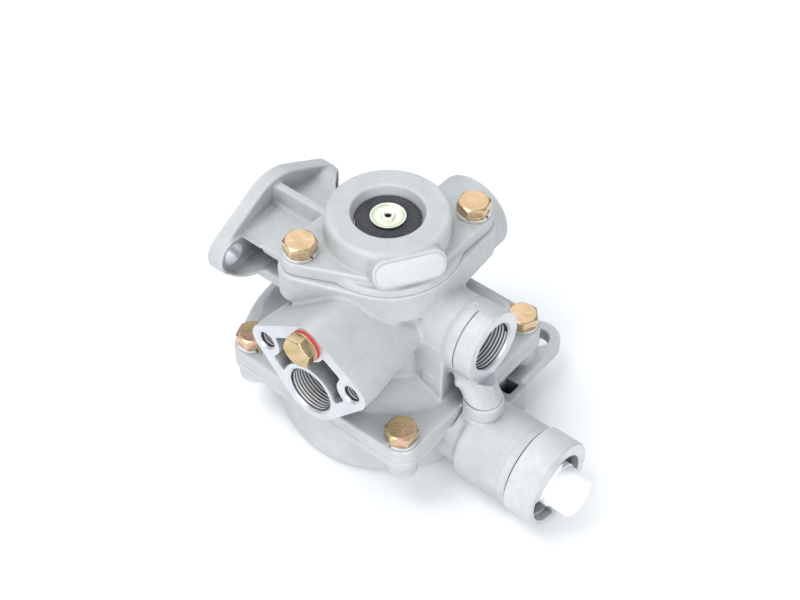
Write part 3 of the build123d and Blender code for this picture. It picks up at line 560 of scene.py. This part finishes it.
def make_plastic(name, light, dark, rough, subsurface=0.0):
    """Smooth plastic or film, with painted shade in its corners."""
    tree, shader, place = start_finish(
        name, Subsurface_Weight=subsurface, Subsurface_Scale=2 * MM,
    )
    skin = use_group(tree, cast_skin, {"Vector": place, "Depth": 0.06})
    edges = use_group(tree, edge_tone, {"Vector": place, "Width": 0.08})
    colour = blend(tree, remap(tree, skin["Tone"], 0.3, 0.7), dark, light)
    # Colour of the painted shade in corners
    crease_shade = [part * 0.7 for part in dark]
    colour = blend(tree, calc(tree, "MULTIPLY", edges["Corner"], 0.4), colour, crease_shade)
    roughness = remap(tree, skin["Tone"], 0.3, 0.7, rough, rough + 0.1)
    connect(tree, shader, Base_Color=colour, Roughness=roughness, Normal=skin["Normal"])


make_cast_alloy()
make_machined(
    "machined_alloy", light=(0.68, 0.685, 0.72), dark=(0.58, 0.585, 0.62),
    rough=0.30, metallic=0.6, scale=700.0, depth=0.25, wear_and_painted_light=0.12,
)
# Near-white threads with bright edges: painted highlight that stands in for the threads' reflections
make_machined(
    "thread_painted_sheen", light=(0.95, 0.95, 0.96), dark=(0.82, 0.83, 0.85),
    rough=0.25, metallic=0.1, scale=700.0, depth=0.10,
)
# Near-black walls of bores and of the rivet's hole: painted shade inside holes
make_machined(
    "bore_painted_shade", light=(0.05, 0.05, 0.055), dark=(0.025, 0.025, 0.03),
    rough=0.4, metallic=0.2, scale=700.0, depth=0.10,
)
make_machined(
    "turned_alloy", light=(0.78, 0.79, 0.81), dark=(0.62, 0.63, 0.66),
    rough=0.28, metallic=0.9, scale=900.0, depth=0.3,
)
make_machined(
    "turned_brass", light=(0.82, 0.62, 0.30), dark=(0.62, 0.44, 0.18),
    rough=0.25, metallic=1.0, scale=900.0, depth=0.3,
)
make_machined(
    "spring_steel", light=(0.66, 0.66, 0.65), dark=(0.46, 0.46, 0.46),
    rough=0.30, metallic=1.0, scale=800.0, depth=0.3,
)
make_machined(
    "cup_steel", light=(0.76, 0.79, 0.68), dark=(0.70, 0.76, 0.56),
    rough=0.26, metallic=0.6, scale=900.0, depth=0.05, lines=0.02,
)
make_zinc()
make_rubber("seal_rubber", dark=(0.012, 0.012, 0.013), light=(0.03, 0.03, 0.031), rough=0.5)
make_rubber("flap_rubber", dark=(0.022, 0.022, 0.025), light=(0.045, 0.045, 0.05), rough=0.42)
make_plastic("red_gasket", light=(0.66, 0.05, 0.045), dark=(0.48, 0.025, 0.025), rough=0.42)
make_plastic(
    "white_plastic", light=(0.90, 0.905, 0.91), dark=(0.84, 0.85, 0.86), rough=0.38,
    subsurface=0.15,
)
make_plastic("plate_film", light=(0.63, 0.645, 0.665), dark=(0.59, 0.605, 0.63), rough=0.30)


# Castings

# Voxels, rounding and most triangles of the castings
VOXEL = 0.55
COVER_VOXEL = VOXEL * 0.8
FILLET = 0.4
BODY_FACES, COVER_FACES, BOWL_FACES = 175000, 120000, 150000

# Stock that machining takes off a flat face, and how far a point may lie off that face
STOCK, FLAT_TOLERANCE = 1.3, 0.02


def stock(piece, axis, reach, amount):
    """Moves a flat face outwards, so that the cut leaves a sharp edge there."""
    for vertex in piece.data.vertices:
        if abs(vertex.co[axis] - reach * MM) < FLAT_TOLERANCE * MM:
            vertex.co[axis] += amount * MM


def cast(piece, fillers, most_faces, voxel=VOXEL):
    """Turns a sharp model, its holes filled, into a casting with round corners and edges."""
    piece = join([piece] + fillers, piece.name)
    voxels = {"mode": "VOXEL", "voxel_size": voxel * MM}
    apply_modifier(piece, "REMESH", **voxels)
    for growth in (FILLET, -FILLET):
        apply_modifier(piece, "DISPLACE", strength=growth * MM, mid_level=0.0)
        apply_modifier(piece, "REMESH", **voxels)
    apply_modifier(piece, "SMOOTH", factor=0.5, iterations=2)
    triangles = 2 * len(piece.data.polygons)
    if triangles > most_faces:
        apply_modifier(piece, "DECIMATE", ratio=most_faces / triangles)
    piece.data.materials.clear()
    piece.data.materials.append(finishes["cast_alloy"])
    return piece


# Radii, pitches and depths of threaded holes, passages and plain holes
PORT_MAJOR, PORT_MINOR, PORT_PITCH, PORT_DEPTH = 11.05, 10.35, 1.5, 15.0
SMALL_MAJOR, SMALL_MINOR, SMALL_PITCH, SMALL_DEPTH = 3.9, 3.35, 1.25, 12.0
PASSAGE, PASSAGE_START, FRONT_PASSAGE, CHAMFER = 8.8, 17.0, 23.0, 0.9
PLUG_HOLE, PLUG_DEPTH, BOWL_BOLT_HOLE, COVER_BOLT_HOLE = 5.05, 11.0, 4.3, 4.0
MOUNT_HOLE_START, COVER_BOLT_HOLE_START = 60, 77.8

# Radii of the cutters that face two ports, and of the rods that fill holes in castings
RIGHT_FACING, REAR_FACING = 17.6, 21.0
PORT_FILLER, PLUG_FILLER, SMALL_FILLER, MOUNT_FILLER, BOLT_FILLER = 12.6, 6.5, 5.0, 6.6, 5.5
BOWL_FILLER, HOUSING_FILLER, COLLAR_FILLER = 48.0, 17.5, 18.95

# How far from the valve's axis those rods start, or how high the upright ones do
PORT_FILLER_START, SMALL_FILLER_START, HOUSING_FILLER_START = 10, 40, 60
MOUNT_FILLER_START, COVER_BOLT_FILLER_START, BOWL_BOLT_FILLER_START = 64.8, 77, 20.5

# Radii of the chambers, bores and grooves on the valve's own axis
RELAY_CHAMBER, STEM_BORE, STEM_GROOVE, OUTLET_CHAMBER = 46.0, 6.05, 8.25, 15.0
SEAT_BORE, SEAT_LIP, INLET_CHAMBER, GUIDE_BORE = 10.5, 12.0, 19.0, 20.05

# Inside the release valve's housing: radii, ends and two windows in the rim of its mouth
SLEEVE_BORE, CLIP_GROOVE, KNOB_ROOM, MOUTH = 13.0, 13.8, 16.2, 14.5
KNOB_ROOM_END, PAST_HOUSING = 97.0, 104.0
WINDOW_RADIUS, WINDOW_ARC, WINDOW_MIDDLES = 17.7, 96, (6, 214)

# Foot of the duct's neck, and a small nub on the web below the right port
DUCT_FOOT = (59.2, RELEASE_Y, 0.0)
NUB_PLACE, NUB_RADIUS = (49.5, -12.5, 53.5), 2.3

# Two corners each of what is taken off the near nut pocket's rim and out of the hollow
# block, and a point and the direction of the plane that ends the right port's relief
POCKET_RIM = ((-62.9, -42, 64.5), (-50.5, -23.8, 84))
BLOCK_HOLLOW = ((47.1, 19.4, 5.0), (53.8, 26.8, 21.0))
RELIEF_PLANE = ((0, 0, 86.4), (0, -0.81, 0.58))

# How far a cutter reaches past a flat face, a hole's mouth and a bolt hole's end
PAST_FACE, PAST_MOUTH, PAST_END = 5, 3, 2

# Each hole's place and the way that it points
RIGHT = ((0, 0, PORT_LEVEL), "X")
BACK = ((0, 0, PORT_LEVEL), "BACK")
FRONT = ((DIAMOND_CENTRE, 0, FRONT_PORT_LEVEL), "FRONT")
SMALL = [((DIAMOND_CENTRE + side * DIAMOND_HALF_PITCH, 0, PORT_LEVEL), "FRONT") for side in (-1, 1)]
PLUG = ((DIAMOND_CENTRE, 0, PLUG_LEVEL), "FRONT")
RELEASE = ((0, RELEASE_Y, RELEASE_Z), "X")
MOUNTS = [((0, MOUNT_CENTRE + side * MOUNT_HALF_PITCH, PORT_LEVEL), "LEFT") for side in (-1, 1)]
CORNERS = [(x * BOLT_OFFSET, y * BOLT_OFFSET, 0) for x in (-1, 1) for y in (-1, 1)]
COVER_BOLTS = [(side * COVER_SIDE[0], side * COVER_SIDE[1], 0) for side in (-1, 1)]


def chamfer(major, reach, spot):
    """Cutter of a threaded hole's chamfer."""
    wide = major + CHAMFER
    profile = [(major - 1, reach - CHAMFER - 1), (wide, reach), (wide, reach + PAST_MOUTH)]
    return turned("cutter", profile, *spot)


def small_bore(spot):
    """Cutter of a small threaded hole in the diamond flange."""
    low, high = DIAMOND_REACH - SMALL_DEPTH, DIAMOND_REACH + PAST_MOUTH
    return rod("cutter", SMALL_MAJOR, low, high, *spot, segments=96)


def port_bore(reach, spot, start=PASSAGE_START):
    """Cutter of a port's threaded hole and of the passage behind it."""
    end, mouth = reach - PORT_DEPTH, reach + PAST_MOUTH
    profile = [(PASSAGE, start), (PASSAGE, end), (PORT_MAJOR, end), (PORT_MAJOR, mouth)]
    return turned("cutter", profile, *spot)


# The body's casting: stock on its flat ends, its holes filled, a nub on its web
body = copy_of("valve_body", "body_casting")
for axis, reach in ((X, PORT_X_REACH), (Y, PORT_Y_REACH), (Y, -DIAMOND_REACH), (X, -MOUNT_REACH)):
    stock(body, axis, reach, math.copysign(STOCK, reach))
fillers = [
    turned("filler", [(49, SEAM_LOW), (49, 38.5), (34, 43), (24, 44), (24, SEAM_HIGH)]),
    rod("filler", PORT_FILLER, PORT_FILLER_START, PORT_X_REACH + STOCK, *RIGHT),
    rod("filler", PORT_FILLER, PORT_FILLER_START, PORT_Y_REACH + STOCK, *BACK),
    rod("filler", PORT_FILLER, PORT_FILLER_START, DIAMOND_REACH + STOCK, *FRONT),
    rod("filler", PLUG_FILLER, SMALL_FILLER_START, DIAMOND_REACH + STOCK, *PLUG),
]
fillers += [
    rod("filler", SMALL_FILLER, SMALL_FILLER_START, DIAMOND_REACH + STOCK, *spot)
    for spot in SMALL
]
fillers += [
    rod("filler", MOUNT_FILLER, MOUNT_FILLER_START, MOUNT_REACH + STOCK, *spot)
    for spot in MOUNTS
]
fillers += [rod("filler", BOLT_FILLER, SEAM_LOW, FLANGE_TOP, place) for place in CORNERS]
fillers += [
    rod("filler", BOLT_FILLER, COVER_BOLT_FILLER_START, SEAM_HIGH, place)
    for place in COVER_BOLTS
]
bpy.ops.object.select_all(action="DESELECT")
bpy.ops.mesh.primitive_ico_sphere_add(
    subdivisions=3, radius=NUB_RADIUS * MM, location=[value * MM for value in NUB_PLACE],
)
fillers.append(named("filler"))
body = cast(body, fillers, BODY_FACES)

# Flat faces of the diamond flange, the wall flange and two ports
cut(body, [
    block("cutter", (-32, -DIAMOND_REACH - PAST_FACE, 36), (42, -DIAMOND_REACH, 94)),
    block("cutter", (-MOUNT_REACH - PAST_FACE, -45, 40), (-MOUNT_REACH, 50, 100)),
    rod("cutter", RIGHT_FACING, PORT_X_REACH, PORT_X_REACH + PAST_FACE, *RIGHT, segments=96),
    rod("cutter", REAR_FACING, PORT_Y_REACH, PORT_Y_REACH + PAST_FACE, *BACK, segments=96),
])

# Everything on the valve's own axis, from the relay chamber up to the guide
cut(body, [turned("cutter", [
    (RELAY_CHAMBER, SEAM_LOW - PAST_END), (RELAY_CHAMBER, 33.5), (30, 40.5), (STEM_BORE, 40.5),
    (STEM_BORE, 42.5), (STEM_GROOVE, 42.5), (STEM_GROOVE, 44.2), (STEM_BORE, 44.2),
    (STEM_BORE, 47.5), (OUTLET_CHAMBER, 47.5), (OUTLET_CHAMBER, 55), (SEAT_BORE, 55),
    (SEAT_BORE, 62), (SEAT_LIP, 62), (13.5, 59), (INLET_CHAMBER, 59), (INLET_CHAMBER, 82.5),
    (GUIDE_BORE, 82.5), (GUIDE_BORE, SEAM_HIGH + PAST_END),
])])

# Threaded holes, whose walls take a near-black painted shade, then their chamfers with all the plain
# holes
cut(body, [
    port_bore(PORT_X_REACH, RIGHT),
    port_bore(PORT_Y_REACH, BACK),
    port_bore(DIAMOND_REACH, FRONT, DIAMOND_REACH - FRONT_PASSAGE),
    *(small_bore(spot) for spot in SMALL),
], "bore_painted_shade")
cut(body, [
    chamfer(PORT_MAJOR, PORT_X_REACH, RIGHT),
    chamfer(PORT_MAJOR, PORT_Y_REACH, BACK),
    chamfer(PORT_MAJOR, DIAMOND_REACH, FRONT),
    *(chamfer(SMALL_MAJOR, DIAMOND_REACH, spot) for spot in SMALL),
    rod("cutter", PLUG_HOLE, DIAMOND_REACH - PLUG_DEPTH, DIAMOND_REACH + PAST_MOUTH, *PLUG),
    *(
        rod("cutter", MOUNT_HOLE, MOUNT_HOLE_START, MOUNT_REACH + PAST_MOUTH, *spot)
        for spot in MOUNTS
    ),
    *(
        rod("cutter", BOWL_BOLT_HOLE, SEAM_LOW - PAST_END, FLANGE_TOP + PAST_END, place)
        for place in CORNERS
    ),
    *(
        rod("cutter", COVER_BOLT_HOLE, COVER_BOLT_HOLE_START, SEAM_HIGH + PAST_END, place)
        for place in COVER_BOLTS
    ),
])

# Relief on the upper front of the right port, groove round the duct's neck, and the
# lowered rim of the near nut pocket
port_relief = turned("cutter", [
    (16.1, 48.0), (17.2, 48.0), (17.2, 60), (16.2, 60), (16.2, 56.9), (16.45, 56.6),
    (16.45, 48.7), (16.1, 48.6),
], *RIGHT, closed=True)
neck_groove = turned("cutter", [
    (7.6, 47.2), (12, 47.2), (12, 48.6), (8.4, 48.4), (7.6, 47.8),
], DUCT_FOOT, closed=True)
cut(body, [
    keep_side(port_relief, *RELIEF_PLANE),
    neck_groove,
    block("cutter", *POCKET_RIM),
], "cast_alloy")
finish_piece(smooth(body), "valve_body")

# The exhaust cover
cover = cast(copy_of("exhaust_cover", "cover_casting"), [], COVER_FACES, COVER_VOXEL)
finish_piece(smooth(cover), "exhaust_cover")

# The bowl with the release valve's housing
bowl = copy_of("bowl_cover", "bowl_casting")
stock(bowl, X, RELEASE_REACH, STOCK)
fillers = [
    rod("filler", BOWL_FILLER, 3.5, SEAM_LOW),
    rod("filler", HOUSING_FILLER, HOUSING_FILLER_START, RELEASE_REACH + STOCK, *RELEASE),
    rod("filler", COLLAR_FILLER, HOUSING_FILLER_START, 83, *RELEASE),
]
fillers += [
    rod("filler", BOLT_FILLER, BOWL_BOLT_FILLER_START, SEAM_LOW, place) for place in CORNERS
]
bowl = cast(bowl, fillers, BOWL_FACES)

# Outside of the housing with the groove at its collar, then the hollow block
cut(bowl, [turned("cutter", [
    (19.4, 81.4), (18.9, 82.2), (18.8, 85.5), (18.1, 85.7), (18.1, 86.2), (19.8, 86.25),
    (20.1, 86.6), (20.1, 99.8), (19.6, 100.3), (19.6, PAST_HOUSING), (23, PAST_HOUSING),
    (23, 81.4),
], *RELEASE, closed=True)], "cast_alloy")
cut(bowl, [block("cutter", *BLOCK_HOLLOW)], "cast_alloy")

# Flat end of the housing and relay chamber, then sleeve bore and room for the knob
cut(bowl, [
    block("cutter", (RELEASE_REACH, -40, -5), (RELEASE_REACH + PAST_FACE, 20, 45)),
    rod("cutter", RELAY_CHAMBER, 5.0, SEAM_LOW + 8, segments=128),
])
cut(bowl, [turned("cutter", [
    (SLEEVE_BORE, 56), (SLEEVE_BORE, 79), (CLIP_GROOVE, 79), (CLIP_GROOVE, 80.5),
    (SLEEVE_BORE, 80.5), (SLEEVE_BORE, 87.5), (KNOB_ROOM, 87.5), (KNOB_ROOM, KNOB_ROOM_END),
    (MOUTH, KNOB_ROOM_END), (MOUTH, PAST_HOUSING),
], *RELEASE)])
for middle in WINDOW_MIDDLES:
    window = sector(
        "cutter", WINDOW_RADIUS, middle, WINDOW_ARC, KNOB_ROOM_END, PAST_HOUSING, *RELEASE,
    )
    cut(bowl, [window], "cast_alloy")
finish_piece(smooth(bowl), "bowl_cover")


# Threads in the ports and small holes

# How deep a ridge is set into the wall, and how much of the pitch it covers
THREAD_ROOT, THREAD_WIDTH = 0.12, 0.84

# Height and side of a triangle whose corners lie 1 from its middle
TRIANGLE_HEIGHT, TRIANGLE_SIDE = 1.5, 2 * math.cos(math.radians(30))


def thread(name, major, minor, pitch, reach, depth, spot):
    """Helical ridge of a threaded hole, set a little into the wall."""
    bpy.ops.object.select_all(action="DESELECT")
    radius = (major - minor + THREAD_ROOT) / TRIANGLE_HEIGHT
    bpy.ops.mesh.primitive_circle_add(vertices=3, radius=radius * MM, fill_type="NOTHING")
    piece = named(name)
    piece.rotation_euler = (math.radians(90), 0, math.radians(90))
    piece.scale = (pitch / (radius * TRIANGLE_SIDE) * THREAD_WIDTH, 1, 1)
    activate(piece)
    bpy.ops.object.transform_apply(location=True, rotation=True, scale=True)
    inner = min(vertex.co.x for vertex in piece.data.vertices)
    for vertex in piece.data.vertices:
        vertex.co.x += minor * MM - inner
        vertex.co.z += (reach - depth + pitch) * MM
    turns = int((depth - pitch - CHAMFER) / pitch)
    apply_modifier(
        piece, "SCREW", axis="Z", angle=2 * math.pi, screw_offset=pitch * MM, iterations=turns,
        steps=56, render_steps=56, use_merge_vertices=False,
    )
    close_ends(piece)
    settle(piece, *spot)
    piece.data.materials.append(finishes["thread_painted_sheen"])
    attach(piece, "housing")
    smooth(piece, 30.0)


port_size = (PORT_MAJOR, PORT_MINOR, PORT_PITCH)
small_size = (SMALL_MAJOR, SMALL_MINOR, SMALL_PITCH)
thread("right_port_thread", *port_size, PORT_X_REACH, PORT_DEPTH, RIGHT)
thread("rear_port_thread", *port_size, PORT_Y_REACH, PORT_DEPTH, BACK)
thread("front_port_thread", *port_size, DIAMOND_REACH, PORT_DEPTH, FRONT)
thread("front_left_thread", *small_size, DIAMOND_REACH, SMALL_DEPTH, SMALL[0])
thread("front_right_thread", *small_size, DIAMOND_REACH, SMALL_DEPTH, SMALL[1])


# Bolts, plug and spring washers

# A bolt's width across flats, head height, shank radius and two shank lengths
FLATS, HEAD, SHANK, BOWL_SHANK, COVER_SHANK = 13.0, 5.3, 3.95, 17.0, 16.0
CROWN_RADIUS, CROWN_SLOPE, FOOT_RADIUS, FOOT_SLOPE = 6.0, 28.0, 6.3, 20.0
WASHER_BORE, WASHER_WIDTH, WASHER_HEIGHT, WASHER_ARC = 4.25, 3.2, 1.6, 351.0
HEAD_EASE, WASHER_EASE = 0.16, 0.2


def hexagon_head(name, height):
    """Hexagon head standing on the origin, chamfered on top and eased at its edges."""
    bpy.ops.object.select_all(action="DESELECT")
    corner = FLATS / 2 / math.cos(math.radians(30))
    bpy.ops.mesh.primitive_cylinder_add(vertices=6, radius=corner * MM, depth=height * MM)
    head = named(name)
    head.location.z = height / 2 * MM
    activate(head)
    bpy.ops.object.transform_apply(location=True, rotation=True, scale=True)
    crown_spread = math.tan(math.radians(90 - CROWN_SLOPE))
    foot_spread = math.tan(math.radians(90 - FOOT_SLOPE))
    shape = turned("shape", [
        (FOOT_RADIUS, -0.01), (FOOT_RADIUS + 0.5 * foot_spread, 0.5),
        (CROWN_RADIUS + 2.0 * crown_spread, height - 2.0),
        (CROWN_RADIUS + 0.3 * crown_spread, height - 0.3), (CROWN_RADIUS, height),
        (CROWN_RADIUS - 0.5, height), (CROWN_RADIUS - 1.3, height - 0.12), (1.0, height - 0.14),
    ])
    apply_modifier(head, "BOOLEAN", object=shape, operation="INTERSECT", solver="EXACT")
    bpy.data.objects.remove(shape)
    ease_edges(head, HEAD_EASE, 25)
    return head


def bolt(name, node_name, place, base, length, turn):
    """One bolt at its place: a head on its shank."""
    head = hexagon_head(name, HEAD)
    shank = rod("shank", SHANK, -length, 0.3, segments=32)
    piece = join([head, shank], name)
    x, y = place[:2]
    settle(piece, (x, y, base), turn=turn + 30)
    finish_piece(smooth(piece, 30.0), node_name)


def spring_washer(name, node_name, place, base, turn):
    """One split washer at its place, flattened by its bolt."""
    bpy.ops.object.select_all(action="DESELECT")
    bpy.ops.mesh.primitive_plane_add(size=1)
    piece = named(name)
    piece.scale = (WASHER_WIDTH * MM, WASHER_HEIGHT * MM, 1)
    piece.rotation_euler = (math.radians(90), 0, 0)
    piece.location = ((WASHER_BORE + WASHER_WIDTH / 2) * MM, 0, WASHER_HEIGHT / 2 * MM)
    activate(piece)
    bpy.ops.object.transform_apply(location=True, rotation=True, scale=True)
    apply_modifier(
        piece, "SCREW", axis="Z", angle=math.radians(WASHER_ARC), steps=64, render_steps=64,
        use_merge_vertices=False,
    )
    close_ends(piece)
    ease_edges(piece, WASHER_EASE, 40)
    x, y = place[:2]
    settle(piece, (x, y, base), turn=turn)
    finish_piece(smooth(piece, 35.0), node_name)


# Each bolt stopped at its own angle when it was tightened
CORNER_NAMES = ("left_front", "left_back", "right_front", "right_back")
CORNER_TURNS = (HEAD_TURN + 12, HEAD_TURN, HEAD_TURN - 9, HEAD_TURN + 30)
for name, place, turn in zip(CORNER_NAMES, CORNERS, CORNER_TURNS):
    bolt(f"bowl_bolt_{name}", "bowl_bolts", place, FLANGE_TOP + WASHER_HEIGHT, BOWL_SHANK, turn)
    spring_washer(f"bowl_washer_{name}", "bowl_spring_washers", place, FLANGE_TOP, turn * 3)
for name, place, turn in zip(("left", "right"), COVER_BOLTS, (HEAD_TURN, HEAD_TURN + 7)):
    bolt(f"cover_bolt_{name}", "cover_bolts", place, COVER_TOP + WASHER_HEIGHT, COVER_SHANK, turn)
    spring_washer(f"cover_washer_{name}", "cover_spring_washers", place, COVER_TOP, turn + 20)

# Closing plug and the ring under its collar
PLUG_RING, PLUG_COLLAR, PLUG_HEAD = 1.0, 0.8, 5.0
head = hexagon_head("closing_plug_head", PLUG_HEAD)
collar = turned("collar", [
    (4.98, -10.0), (4.98, -PLUG_COLLAR), (6.8, -PLUG_COLLAR), (7.0, -PLUG_COLLAR + 0.2),
    (7.0, -0.2), (6.8, 0.05),
])
plug = join([head, collar], "closing_plug_turned")
x, y, z = PLUG[0]
settle(plug, (x, -DIAMOND_REACH - PLUG_RING - PLUG_COLLAR, z), "FRONT", turn=45.0)
finish_piece(smooth(plug, 30.0), "closing_plug")
ring = turned("plug_ring", [
    (5.3, 0.0), (7.2, 0.0), (7.3, 0.15), (7.3, 0.85), (7.2, PLUG_RING), (5.3, PLUG_RING),
], (x, -DIAMOND_REACH, z), "FRONT", closed=True)
finish_piece(smooth(ring), "plug_seal_ring")


# Exhaust mouth

# Undersides of the flap, its cup and the rivet's head, and the rivet's bore
SEAT = box_side("exhaust_flap", LOW, Z)
CUP = box_side("flap_washer", LOW, Z)
RIVET = CUP + 0.8
RIVET_BORE = 1.3
flap = turned("rubber_flap", [
    (2.06, SEAT), (13.5, SEAT), (13.95, SEAT + 0.4), (13.95, SEAT + 1.3), (13.5, CUP),
    (12.2, CUP), (11.8, SEAT + 1.35), (9.3, SEAT + 1.35), (8.9, CUP), (2.06, CUP),
], closed=True, segments=128)
finish_piece(smooth(flap), "exhaust_flap")
cup = turned("cup_washer", [
    (2.05, CUP), (5.7, CUP), (6.3, CUP + 0.15), (7.3, CUP + 0.9), (7.6, CUP + 1.3), (7.55, CUP + 1.55),
    (7.3, CUP + 1.6), (7.0, CUP + 1.45), (6.2, CUP + 0.95), (5.6, RIVET), (2.05, RIVET),
], closed=True)
finish_piece(smooth(cup, 60.0), "flap_washer")
rivet = turned("hollow_rivet", [
    (RIVET_BORE, SEAT - 3.7), (2.9, SEAT - 3.7), (2.9, SEAT - 2.4), (2.0, SEAT - 2.4),
    (2.0, RIVET), (3.1, RIVET), (3.2, RIVET + 0.3), (3.05, RIVET + 0.75), (2.7, RIVET + 1.1),
    (2.2, RIVET + 1.25), (1.8, RIVET + 1.15), (1.45, RIVET + 0.85), (RIVET_BORE, RIVET + 0.4),
], closed=True, segments=64)

# The rivet's bore takes a near-black painted shade
rivet.data.materials.append(finishes[subparts["flap_rivet"]])
rivet.data.materials.append(finishes["bore_painted_shade"])
for face in rivet.data.polygons:
    face.material_index = int(Vector(face.center[:2]).length < (RIVET_BORE + 0.02) * MM)
finish_piece(smooth(rivet, 50.0), "flap_rivet")

# Knob and plate, their edges eased
for node_name, name, ease, carrier in (
    ("release_knob", "white_knob", 0.45, "release"),
    ("rating_plate", "bare_plate", 0.12, "housing"),
):
    piece = copy_of(node_name, name)
    edit(piece)
    bpy.ops.mesh.dissolve_limited(angle_limit=math.radians(1.5))
    bpy.ops.object.mode_set(mode="OBJECT")
    ease_edges(piece, ease, 35, segments=3)
    finish_piece(smooth(piece, 32.0), node_name, carrier)

# Springs inside, copied from their CAD nodes with meshes of their own; the joint, stroke and fixed end
# that press each one are listed with it
for node_name, name, joint, stroke, axis, fixed_end in (
    ("valve_spring", "valve_coil", "valve_slide", 3.0, Z, (0, 0, 82.5)),
    ("release_spring", "release_coil", "release_slide", 5.0, X, (79.0, 0, 0)),
):
    coil = smooth(copy_of(node_name, name), 40.0)
    finish_piece(coil, node_name)
    low, high = (corner[axis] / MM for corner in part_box(node_name))
    reach = max(abs(low - fixed_end[axis]), abs(high - fixed_end[axis]))
    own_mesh(coil)

# CAD nodes take their slot's finish
for node_name, slot in subparts.items():
    nodes[node_name].data.materials.clear()
    nodes[node_name].data.materials.append(finishes[slot])


# Studio: camera, lights, sky and floor, placed in metres

def add_camera():
    """Camera at the photograph's viewing angle."""
    azimuth, elevation, roll = (math.radians(angle) for angle in (AZIMUTH, ELEVATION, ROLL))
    level = math.cos(elevation)
    forward = Vector((
        -math.sin(azimuth) * level, math.cos(azimuth) * level, -math.sin(elevation),
    ))
    right = Vector((math.cos(azimuth), math.sin(azimuth), 0.0))
    up = right.cross(forward)
    place = Vector((0, 0, TARGET_HEIGHT)) + right * SIDE_SHIFT - forward * DISTANCE
    side = math.cos(roll) * right + math.sin(roll) * up
    top = -math.sin(roll) * right + math.cos(roll) * up
    data = bpy.data.cameras.new("camera")
    data.lens = FOCAL_PIXELS * SENSOR / IMAGE_WIDTH
    data.sensor_width = SENSOR
    data.clip_start, data.clip_end = 0.05, 20.0
    camera = bpy.data.objects.new("camera", data)
    bpy.context.collection.objects.link(camera)
    turn = Matrix((side, top, -forward)).transposed().to_4x4()
    camera.matrix_world = Matrix.Translation(place) @ turn
    bpy.context.scene.camera = camera


def add_light(name, place, target, size, power, tint):
    """Square soft light at a place, looking at a target."""
    data = bpy.data.lights.new(name, "AREA")
    data.shape = "SQUARE"
    data.size = size
    data.energy = power
    data.color = tint
    lamp = bpy.data.objects.new(name, data)
    bpy.context.collection.objects.link(lamp)
    lamp.location = place
    lamp.rotation_euler = (Vector(target) - Vector(place)).to_track_quat("-Z", "Y").to_euler()


add_camera()
CENTRE = (0.0, 0.0, 0.05)
WARM, NEUTRAL, COOL = (1.0, 0.995, 0.985), (1.0, 0.998, 0.99), (0.95, 0.97, 1.0)
add_light("key", (-0.65, -0.80, 2.30), CENTRE, size=1.2, power=20.0, tint=WARM)
add_light("front", (0.35, -2.40, 0.95), CENTRE, size=1.4, power=25.0, tint=NEUTRAL)
add_light("right", (2.20, -0.90, 1.00), CENTRE, size=1.4, power=27.0, tint=NEUTRAL)
add_light("back", (-1.05, 1.30, 1.80), CENTRE, size=3.2, power=30.0, tint=COOL)

# Sky, brighter overhead and a little brighter from the front left
FRONT_LEFT = (-0.60, -0.75, 0.25)
world = bpy.data.worlds.new("studio")
bpy.context.scene.world = world
world.use_nodes = True
tree = world.node_tree
view = tree.nodes.new("ShaderNodeTexCoord").outputs["Generated"]
height = wire(tree, "ShaderNodeSeparateXYZ", {"Vector": view}).outputs["Z"]
left = wire(
    tree, "ShaderNodeVectorMath", {0: view, 1: FRONT_LEFT}, operation="DOT_PRODUCT",
).outputs["Value"]
overhead = remap(tree, height, 0.15, 0.75, 0.10, 0.62)
sky = calc(tree, "ADD", overhead, remap(tree, left, 0.1, 0.9, 0.0, 0.08))
tree.links.new(sky, tree.nodes["Background"].inputs["Strength"])
tree.nodes["Background"].inputs["Color"].default_value = (0.90, 0.95, 1.0, 1.0)
bpy.context.scene.view_settings.view_transform = "Standard"

# Pale paper under the valve
FLOOR_SIZE, FLOOR_GAP = 6.0, 0.2
bpy.ops.object.select_all(action="DESELECT")
bpy.ops.mesh.primitive_plane_add(size=FLOOR_SIZE, location=(0, 0, -FLOOR_GAP * MM))
floor = named("floor")
tree, shader, place = start_finish("floor_paper", Roughness=0.8)
weave = noise(tree, place, 300.0, 3.0)
paper = blend(tree, weave, (0.955, 0.96, 0.965), (0.97, 0.975, 0.98))
connect(tree, shader, Base_Color=paper)
floor.data.materials.append(finishes["floor_paper"])
